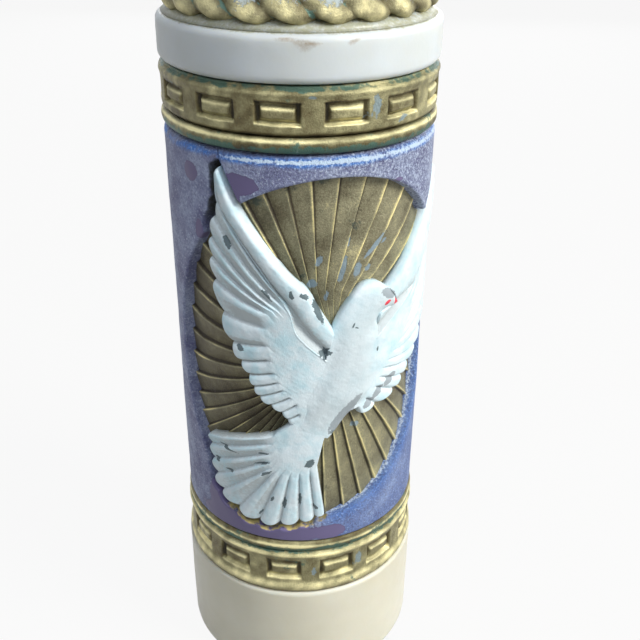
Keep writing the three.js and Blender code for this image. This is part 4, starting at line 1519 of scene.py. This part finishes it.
@dataclass
class RayOval:
    """Pleated rays from behind the breast: each drops to the foot of the next one's raised edge."""

    rays: int = 46
    turn: float = math.radians(1)
    spread: float = 0.3
    spread_towards: float = math.radians(65)
    middle: tuple[float, float] = (3.0, 5.3)
    focus: tuple[float, float] = (-0.4, 7.0)
    focus_drift: tuple[float, float] = (10.4, -5.0)
    inner: float = 0.3
    depth: float = 0.6
    slope: float = 0.9
    margin: float = 0.9
    samples: int = 18
    rings: int = 84
    chips: tuple[Mark, ...] = (
        Mark(-2.2, 19.6, 1.5, 1.2, 0), Mark(1.1, 16.5, 1.4, 0.6, 70), Mark(8.8, 21.6, 2.2, 1.0, 72),
        Mark(11.5, 21.6, 1.3, 0.9, 20), Mark(6.4, 28.4, 2.0, 0.5, 80), Mark(16.5, 26.8, 1.2, 0.4, 30),
        Mark(-0.7, 24.6, 1.6, 1.0, 60), Mark(5.1, 22.3, 3.8, 0.9, 75), Mark(9.3, -18.4, 1.5, 1.0, 0),
        Mark(13.5, 26.5, 5.0, 0.7, 40))

    def spokes(self, shares: Array) -> tuple[Array, Array]:
        """Where the rays' lines start and how they run, at shares of the way round.

        The directions are spread wider to the upper right by a sine, and the more a ray points
        left, by its cosine squared, the further right its line starts.

        Args:
            shares: shares of the way round the oval.

        Returns:
            (lines, 2), where each line starts, as arc and rise, and each line's angle.
        """
        evenly = self.turn + shares * 2 * math.pi
        angles = evenly + self.spread * np.sin(evenly - self.spread_towards)
        drift = np.maximum(0, -np.cos(angles))[:, None] ** 2
        return np.array(self.focus) + drift * np.array(self.focus_drift), angles

    def build(self) -> None:
        """A polar grid whose samples bunch at the slats' edges, closed by a plain back."""
        fine = 5
        slope = np.linspace(0, self.slope, self.samples - fine, endpoint=False)
        share = np.concatenate([slope, np.linspace(self.slope, 0.99, fine)])
        within = np.tile(share, self.rays)
        start, angles = self.spokes(((np.arange(self.rays)[:, None] + share) / self.rays).reshape(-1))
        reach = OVAL.reach(start, angles, self.margin)
        ways = np.stack([np.cos(angles), np.sin(angles)], -1)
        out = np.linspace(0.02, 1, self.rings)[None, :, None]
        lines = start[:, None] + (ways * reach[:, None])[:, None] * np.maximum(out, self.inner)
        flat = mix(np.array(self.middle), lines, np.minimum(1, out / self.inner))
        arc, rise = flat[..., 0], flat[..., 1]
        rising = 1 - ease(self.slope, 1.0, within)
        drop = np.where(within < self.slope, within / self.slope, rising)[:, None]
        fade = ease(0.1, self.inner, out[..., 0])
        ridge = bell(np.minimum(within, 1 - within), 0.06)[:, None]
        ground = wrap(arc, OVAL.level + rise, np.full(arc.shape, OVAL.ground_radius))
        uneven = 0.05 * ripple(ground, 3.5, 61) + 0.04 * ripple(ground, 10, 62)
        uneven = uneven + 0.03 * ripple(ground, 1.5, 64)
        radius = OVAL.ground_radius - self.depth * drop * fade + 0.12 * ridge * fade + uneven
        front = wrap(arc, OVAL.level + rise, radius)
        ends = [-1, self.rings // 2, 0]
        back = wrap(arc[:, ends], OVAL.level + rise[:, ends], np.full((1, 3), HIDDEN_RADIUS + 0.2))
        light = ease(-26, 10, arc + 0.35 * rise)
        # crest: painted highlight on each slat's ridge, stronger on the right; painted shade in each
        # groove, down each slope and on the left; lighter towards the bottom.
        groove = bell(within - 0.92, 0.05)[:, None]
        rubbed_and_lit = np.clip(0.6 + 0.5 * ripple(ground, 11, 65), 0.2, 1.2) + 0.4 * ease(6, 20, arc)
        crest = mix(-0.4, -0.1, light) + mix(1.2, 0.95, light) * ridge * rubbed_and_lit - 0.75 * groove - 0.1 * drop
        crest = crest + 0.16 * (1 - ease(-30, -14, rise)) + 0.12 * ripple(ground, 9, 63)
        # Tarnish near the oval's upper rim is painted shadow under the panel's lip, plus random tarnish
        # from the ripple.
        from_rim = (1 - out[..., 0]) * reach[:, None]
        green = 0.35 * (1 - ease(0.5, 5.0, from_rim)) * ease(10, 30, rise)
        green = green + 0.2 * ripple(ground, 8, 66) - 0.12
        coats = {"crest": crest, "chip": marked(self.chips, arc, rise) * 1.1 + 0.02, "tarnish": green}
        loops = np.concatenate([front, back], axis=1)
        full = {key: np.concatenate([value, value[:, ends]], axis=1) for key, value in coats.items()}
        surface = closed_loops(loops, full)
        add_piece("ray_oval", ["ray_medallion"], surface, RAY_PAINT)


@dataclass
class Panel:
    """The violet sleeve: it wraps the candle, and opens round the oval and the dove's limbs."""

    directions: int = 1200
    open_rings: int = 58
    front_arc: float = 45.0
    notch: float = 1.3
    lip: float = 0.6
    wall_slope: float = 0.2
    top_rounding: float = 2.0
    bottom_rounding: float = 0.6
    floor_width: float = 3.0
    floor_radius: float = PANEL.radius - 3.3
    notch_radius: float = PANEL.radius - 2.6
    half_arc: float = math.pi * PANEL.radius
    chips: tuple[Mark, ...] = (
        Mark(-17.6, 41.4, 4.8, 2.6, 0), Mark(-19.5, 38.6, 2.8, 2.4, -50), Mark(-30.5, 41.8, 2.7, 2.4, 0),
        Mark(-28.7, 29.3, 1.4, 2.6, 0), Mark(17.4, 40.7, 1.5, 0.6, 0), Mark(-16, -47.5, 19, 4.2, 0),
        Mark(-27, -43, 4, 8, 0), Mark(2, -47.5, 5, 2.5, 0))

    def border(self, angles: Array) -> Array:
        """Distance from the centre to the edge of the unrolled panel in each direction.

        Args:
            angles: the directions.

        Returns:
            The distances in mm.
        """
        up, down = PANEL.top - OVAL.level, OVAL.level - PANEL.bottom
        cosine, sine = np.cos(angles), np.sin(angles)
        side = self.half_arc / np.maximum(np.abs(cosine), 1e-9)
        end = np.where(sine > 0, up, down) / np.maximum(np.abs(sine), 1e-9)
        return np.minimum(side, end)

    def opening(self, angles: Array) -> Array:
        """Distance from the centre to the opening's edge in each direction.

        It is the oval's edge or, where a wing or the tail reaches further, the far side of the
        outermost circle of the notch's radius about that limb's outline.

        Args:
            angles: directions, counted from +arc towards +rise.

        Returns:
            One distance for each angle.
        """
        limbs = [part.outline() for part in (LEFT_ARM, RIGHT_ARM, LEFT_WING, RIGHT_WING, TAIL)]
        points = np.concatenate(limbs)
        ways = np.stack([np.cos(angles), np.sin(angles)], -1)
        along = ways @ points.T
        aside = ways[:, :1] * points[:, 1] - ways[:, 1:] * points[:, 0]
        inside = np.clip(self.notch ** 2 - aside ** 2, 0, None)
        reach = np.where((inside > 0) & (along > 0), along + np.sqrt(inside), 0).max(1)
        return np.maximum(reach, OVAL.reach((0.0, 0.0), angles))

    def radius(self, rise: Array) -> Array:
        """The sleeve's outer radius at a rise, with its two ends rounded.

        Args:
            rise: the height above the oval's centre.

        Returns:
            The radii in mm.
        """
        level = OVAL.level + rise
        top = dome(PANEL.top - level, self.top_rounding)
        bottom = dome(level - PANEL.bottom, self.bottom_rounding)
        return PANEL.radius - self.top_rounding * (1 - top) - self.bottom_rounding * (1 - bottom)

    def angles(self) -> Array:
        """Directions from the centre, evenly round, with the unrolled panel's four corners.

        Returns:
            The angles, the smallest first.
        """
        evenly = np.linspace(0, 2 * math.pi, self.directions, endpoint=False)
        high = math.atan2(PANEL.top - OVAL.level, self.half_arc)
        low = math.atan2(OVAL.level - PANEL.bottom, self.half_arc)
        return np.sort(np.concatenate([evenly, [high, math.pi - high, math.pi + low, 2 * math.pi - low]]))

    def rings(self, angles: Array, edge: Array) -> tuple[Array, Array, int]:
        """The sleeve's rings, from the opening's floor over its lip to the border and back inside.

        The wall climbs in four steps, the lip is a quarter round, and the rings of the open skin
        are spaced by a cosine, close at both ends.

        Args:
            angles: directions from the centre.
            edge: distance to the opening's edge in each direction.

        Returns:
            Distances (directions, rings), radii of the same shape that are -1 on the open skin,
            and how many of the rings are outside.
        """
        border, oval = self.border(angles), OVAL.reach((0.0, 0.0), angles)
        floor = mix(self.floor_radius, self.notch_radius, ease(0.3, 1.2, edge - oval))
        rings: list[tuple[Array, Array | float]] = [
            (oval - self.floor_width, self.floor_radius - 0.1), (oval - 1.0, self.floor_radius),
            (edge, floor)]
        lip_start = PANEL.radius - self.lip
        rings += [(edge + self.wall_slope * k / 4, mix(floor, lip_start, k / 4)) for k in range(1, 5)]
        for turn in np.linspace(0, math.pi / 2, 7)[1:]:
            out = edge + self.wall_slope + self.lip * (1 - math.cos(turn))
            rings.append((out, lip_start + self.lip * math.sin(turn)))
        begin = edge + self.wall_slope + self.lip
        for share in (1 - np.cos(np.linspace(0, math.pi, self.open_rings + 1)[1:])) / 2:
            rings.append((mix(begin, border, share), -1.0))
        outside = len(rings)
        rings += [(mix(border, oval - self.floor_width, k / 6), HIDDEN_RADIUS) for k in range(7)]
        distance = np.stack([ring[0] for ring in rings], 1)
        return distance, np.stack([np.broadcast_to(ring[1], angles.shape) for ring in rings], 1), outside

    def build(self) -> None:
        """Wraps the rings round the candle, uneven as a casting, and paints them."""
        angles = self.angles()
        edge = self.opening(angles)
        distance, given, outside = self.rings(angles, edge)
        arc, rise = np.cos(angles)[:, None] * distance, np.sin(angles)[:, None] * distance
        skin = self.radius(rise)
        radius = np.where(given < 0, skin, np.minimum(given, skin))
        points = wrap(arc, OVAL.level + rise, radius)
        shown = (np.arange(distance.shape[1]) < outside)[None, :]
        radius = radius + np.where(shown, 0.05 * ripple(points, 14, 71) + 0.025 * ripple(points, 4, 72), 0)
        points = wrap(arc, OVAL.level + rise, radius)
        surface = closed_loops(points, self.coats(points, arc, rise, distance - edge[:, None]))
        self.close_seam(surface, arc.reshape(-1))
        add_piece("violet_panel", ["panel_sleeve"], surface, PearlPaint())

    def coats(self, points: Array, arc: Array, rise: Array, to_edge: Array) -> Fields:
        """The paint's fields.

        Chips are ellipses in front and soft patches behind. A painted highlight and painted blue
        reflection run under the top by bell curves, and a painted highlight at the foot of the wall.
        Painted blue reflection lies low on the right, painted silver glints high on it, painted shadow
        round the left wing's tip and along the wall's foot, and gilt under the tail, each a product of
        smooth steps.

        Args:
            points: places in mm.
            arc: their arcs.
            rise: their rises.
            to_edge: their distances from the opening.

        Returns:
            The fields chip, sheen, gleam, grime and gilt.
        """
        chip = 1.4 * marked(self.chips, arc, rise) + 0.05 * ripple(points, 20, 73)
        chip = np.where(np.abs(arc) > self.front_arc, 0.55 * ripple(points, 26, 74) - 0.75, chip)
        chip = np.where(to_edge < 0.1, -1, chip)
        to_back = ease(34, 70, arc)
        under_top = PANEL.top - OVAL.level - rise
        # Uneven strength along the painted reflection and highlight lines under the top.
        brushed = np.clip(0.75 + 0.5 * ripple(points, 9, 75) + 0.25 * ripple(points, 2, 76), 0.1, 1.3)
        low_right = ease(-4, 4, arc) * (1 - ease(-8, 6, rise)) * (1 - to_back)
        by_wall = mix(0.45, 0.3, ease(0.8, 4.0, to_edge)) * low_right
        # Painted blue sky reflection on the top's rounding, on the opening's wall low on the right, and
        # faintly to the right.
        sheen = np.maximum(bell(under_top - 1.45, 0.9) * brushed, by_wall)
        sheen = np.maximum(sheen, 0.12 * ease(0, 20, arc) * (1 - to_back))
        # Painted highlights: a whitish line under the top, a thin line on the wall low on the right, and
        # more silver glints to the right.
        gleam = 1.4 * bell(under_top - 1.4, 0.36) * ease(-30, -12, arc) * brushed
        gleam = gleam + 0.9 * bell(to_edge - 0.1, 0.04) * low_right
        gleam = gleam + 0.35 * ease(-12, 10, arc) * (1 - low_right) * (1 - to_back) - 0.3
        # Painted shadow round the left wing's tip and at the foot of the opening's wall, only on the left.
        by_tip = bell(arc + 25.0, 3.0) * ease(22, 34, rise)
        opening_shadow = 0.8 * by_tip * (1 - ease(0.0, 1.1, to_edge)) + 0.3 * (1 - ease(-0.2, 0.4, to_edge)) - 0.2
        opening_shadow = np.where(arc + rise * 0.2 > 4, opening_shadow - 0.5, opening_shadow)
        by_tail = ease(-28, -24, arc) * (1 - ease(1, 4, arc)) * (1 - ease(-38, -34, rise))
        gilt = 0.55 * by_tail * (1 - ease(0.2, 0.9, to_edge)) - 0.05
        return {"chip": chip, "sheen": sheen, "gleam": gleam, "opening_shadow": opening_shadow, "gilt": gilt}

    def close_seam(self, surface: Surface, arc: Array) -> None:
        """Joins the two sides that meet behind, and drops the walls left between them.

        Args:
            surface: the sleeve, changed in place.
            arc: each point's arc before it was wrapped.
        """
        at_seam = np.abs(arc) > self.half_arc - 1e-6
        faces = np.array(surface.faces)
        faces = faces[~at_seam[faces].all(1)]
        keys = np.round(surface.points * 1e4).astype(np.int64)
        _, first, group = np.unique(keys, axis=0, return_index=True, return_inverse=True)
        surface.points = surface.points[first]
        surface.fields = {name: value[first] for name, value in surface.fields.items()}
        joined = group.reshape(-1)[faces]
        kept = [[c for k, c in enumerate(face) if c != face[k - 1]] for face in joined.tolist()]
        surface.faces = [face for face in kept if len(face) > 2]


# Studio

def seen_directly(tree: Tree) -> Socket:
    """1 for rays from the camera, off glossy surfaces and through clear ones, 0 for the light's own.

    Args:
        tree: the node tree.

    Returns:
        The output that holds it.
    """
    camera = add_node(tree, "LightPath", output="Is Camera Ray")
    glossy = add_node(tree, "LightPath", output="Is Glossy Ray")
    clear = add_node(tree, "LightPath", output="Is Transmission Ray")
    either = add_node(tree, "Math", {0: camera, 1: glossy}, operation="MAXIMUM")
    return add_node(tree, "Math", {0: either, 1: clear}, operation="MAXIMUM")


@dataclass(frozen=True)
class PaleFloor(Finish):
    """A matt white sweep: the camera sees it nearly white, with the candle's shadow on it."""

    name: str = "white_sweep"
    white_share: float = 0.92
    matt: str = "#a9a9a5"

    def shader(self, tree: Tree) -> Socket:
        """A matt pale grey that glows towards whatever sees it directly.

        Args:
            tree: the material's node tree.

        Returns:
            The shader's output.
        """
        share = add_node(tree, "Math", {0: seen_directly(tree), 1: self.white_share}, operation="MULTIPLY")
        matt = add_node(tree, "BsdfDiffuse", {"Color": self.matt})
        glow = add_node(tree, "Emission", {"Color": "#ffffff", "Strength": 1.0})
        return add_node(tree, "MixShader", {0: share, 1: matt, 2: glow})


@dataclass(frozen=True)
class Lamp:
    """A square soft box, aimed at the candle's middle."""

    name: str
    place: tuple[float, float, float]
    size: float
    power: float
    colour: str = "#ffffff"

    def build(self, target: Vector) -> None:
        """Adds the lamp.

        Args:
            target: the point that the lamp faces.
        """
        data = bpy.data.lights.new(self.name, "AREA")
        data.shape, data.size, data.energy = "SQUARE", self.size, self.power
        data.color = linear(self.colour)[:3]
        lamp = bpy.data.objects.new(self.name, data)
        lamp.location = self.place
        lamp.rotation_euler = (target - Vector(self.place)).to_track_quat("-Z", "Y").to_euler()
        bpy.context.scene.collection.objects.link(lamp)


@dataclass
class Studio:
    """Floor, lamps, pale surroundings and the camera at the photograph's place."""

    camera_place: tuple[float, float, float] = (-31.90, -190.79, 197.33)
    heading: float = math.radians(10.974)
    dip: float = math.radians(28.549)
    roll: float = math.radians(0.625)
    focal_pixels: float = 875.38
    picture_pixels: float = 640.0
    sensor: float = 36.0
    ambient: float = 0.17
    surround: str = "#f4f7fb"
    aim_share: float = 0.55
    floor_radius: float = 3.0
    floor_drop: float = 0.00005
    floor_sides: int = 96
    lamps: tuple[Lamp, ...] = (
        Lamp("key_softbox", (0.55, -0.42, 0.62), 0.30, 8.7, "#fffdf8"),
        Lamp("sky_softbox", (-0.1, -0.5, 0.85), 0.5, 3.0, "#f0f5ff"),
        Lamp("fill_softbox", (-0.6, -0.5, 0.35), 0.7, 0.15, "#eef2ff"),
        Lamp("back_softbox", (0.2, 0.8, 0.45), 0.8, 5.0, "#f6f8ff"),
    )

    def build(self) -> None:
        """Adds everything that isn't part of the candle."""
        target = Vector((0, 0, CORE.top * MM * self.aim_share))
        for lamp in self.lamps:
            lamp.build(target)
        self.build_floor()
        self.build_world()
        self.build_camera()
        bpy.context.scene.view_settings.view_transform = "Standard"

    def build_floor(self) -> None:
        """A wide disc just under the base."""
        angles = np.linspace(0, 2 * math.pi, self.floor_sides, endpoint=False)
        low = np.full(self.floor_sides, -self.floor_drop)
        rim = np.stack([self.floor_radius * np.cos(angles), self.floor_radius * np.sin(angles), low], 1)
        mesh = bpy.data.meshes.new("floor")
        mesh.from_pydata(rim.tolist(), [], [list(range(self.floor_sides))])
        mesh.materials.append(PaleFloor().material())
        floor = bpy.data.objects.new("floor", mesh)
        bpy.context.scene.collection.objects.link(floor)

    def build_world(self) -> None:
        """An even pale surround, which the camera and glossy surfaces see as white."""
        world = bpy.data.worlds.new("pale_surround")
        bpy.context.scene.world = world
        world.use_nodes = True
        tree = world.node_tree
        tree.nodes.clear()
        strength = add_node(tree, "MapRange", {
            "Value": seen_directly(tree), "To Min": self.ambient, "To Max": 1.0})
        sky = add_node(tree, "Background", {"Color": self.surround, "Strength": strength})
        output = tree.nodes.new("ShaderNodeOutputWorld")
        tree.links.new(sky, output.inputs["Surface"])

    def build_camera(self) -> None:
        """The camera, from its heading, its dip below level and its roll."""
        data = bpy.data.cameras.new("camera")
        data.sensor_width = self.sensor
        data.lens = self.focal_pixels / self.picture_pixels * self.sensor
        data.clip_start, data.clip_end = 0.01, 20
        camera = bpy.data.objects.new("camera", data)
        level = Vector((math.sin(self.heading), math.cos(self.heading), 0))
        ahead = level * math.cos(self.dip) - Vector((0, 0, math.sin(self.dip)))
        right = Vector((math.cos(self.heading), -math.sin(self.heading), 0))
        up = right.cross(ahead)
        rolled_right = right * math.cos(self.roll) + up * math.sin(self.roll)
        rolled_up = up * math.cos(self.roll) - right * math.sin(self.roll)
        turn = Matrix((rolled_right, rolled_up, -ahead)).transposed().to_4x4()
        camera.matrix_world = Matrix.Translation(Vector(self.camera_place) * MM) @ turn
        bpy.context.scene.collection.objects.link(camera)
        bpy.context.scene.camera = camera


def dress_sustainer() -> None:
    """Gives the CAD's sustainer its tinplate, on the object's own slot."""
    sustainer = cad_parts["wick_sustainer"]
    sustainer.data.materials.clear()
    sustainer.data.materials.append(Tinplate().material())


def main() -> None:
    """Builds the studio and the candle's pieces from the foot up."""
    logging.basicConfig(level=logging.INFO, format="%(name)s: %(message)s")
    Studio().build()
    WaxPillar().build()
    Wick().build()
    dress_sustainer()
    RopeRim().build()
    Bead("upper_ridge", "upper_bead", line=2.45).build()
    Bead("lower_ridge", "lower_bead", line=1.9).build()
    Frieze("upper_frieze", "upper_key_band", UPPER_MOULDING, UPPER_WEAR).build()
    Frieze("lower_frieze", "lower_key_band", LOWER_MOULDING, LOWER_WEAR).build()
    Panel().build()
    RayOval().build()
    Torso().build()
    Arm("dove_left_limb", "dove_left_arm", LEFT_ARM).build()
    Arm("dove_right_limb", "dove_right_arm", RIGHT_ARM).build()
    Feathers("dove_left_feathers", "dove_left_wing", LEFT_WING, end=1.7, trough=0.9, shade=0.8,
             over=((TORSO, 2.2), (LEFT_ARM, 0.6))).build()
    Feathers("dove_right_feathers", "dove_right_wing", RIGHT_WING, end=1.9, trough=0.8, shade=0.4,
             over=((TORSO, 2.2), (RIGHT_ARM, 0.6))).build()
    Feathers("dove_tail_feathers", "dove_tail", TAIL, end=2.1, trough=0.9, shade=0.65,
             over=((TORSO, 2.2),), covert=1.72, breast_crown=TAIL_ROOT_HEIGHT).build()


if __name__ == "__main__":
    main()
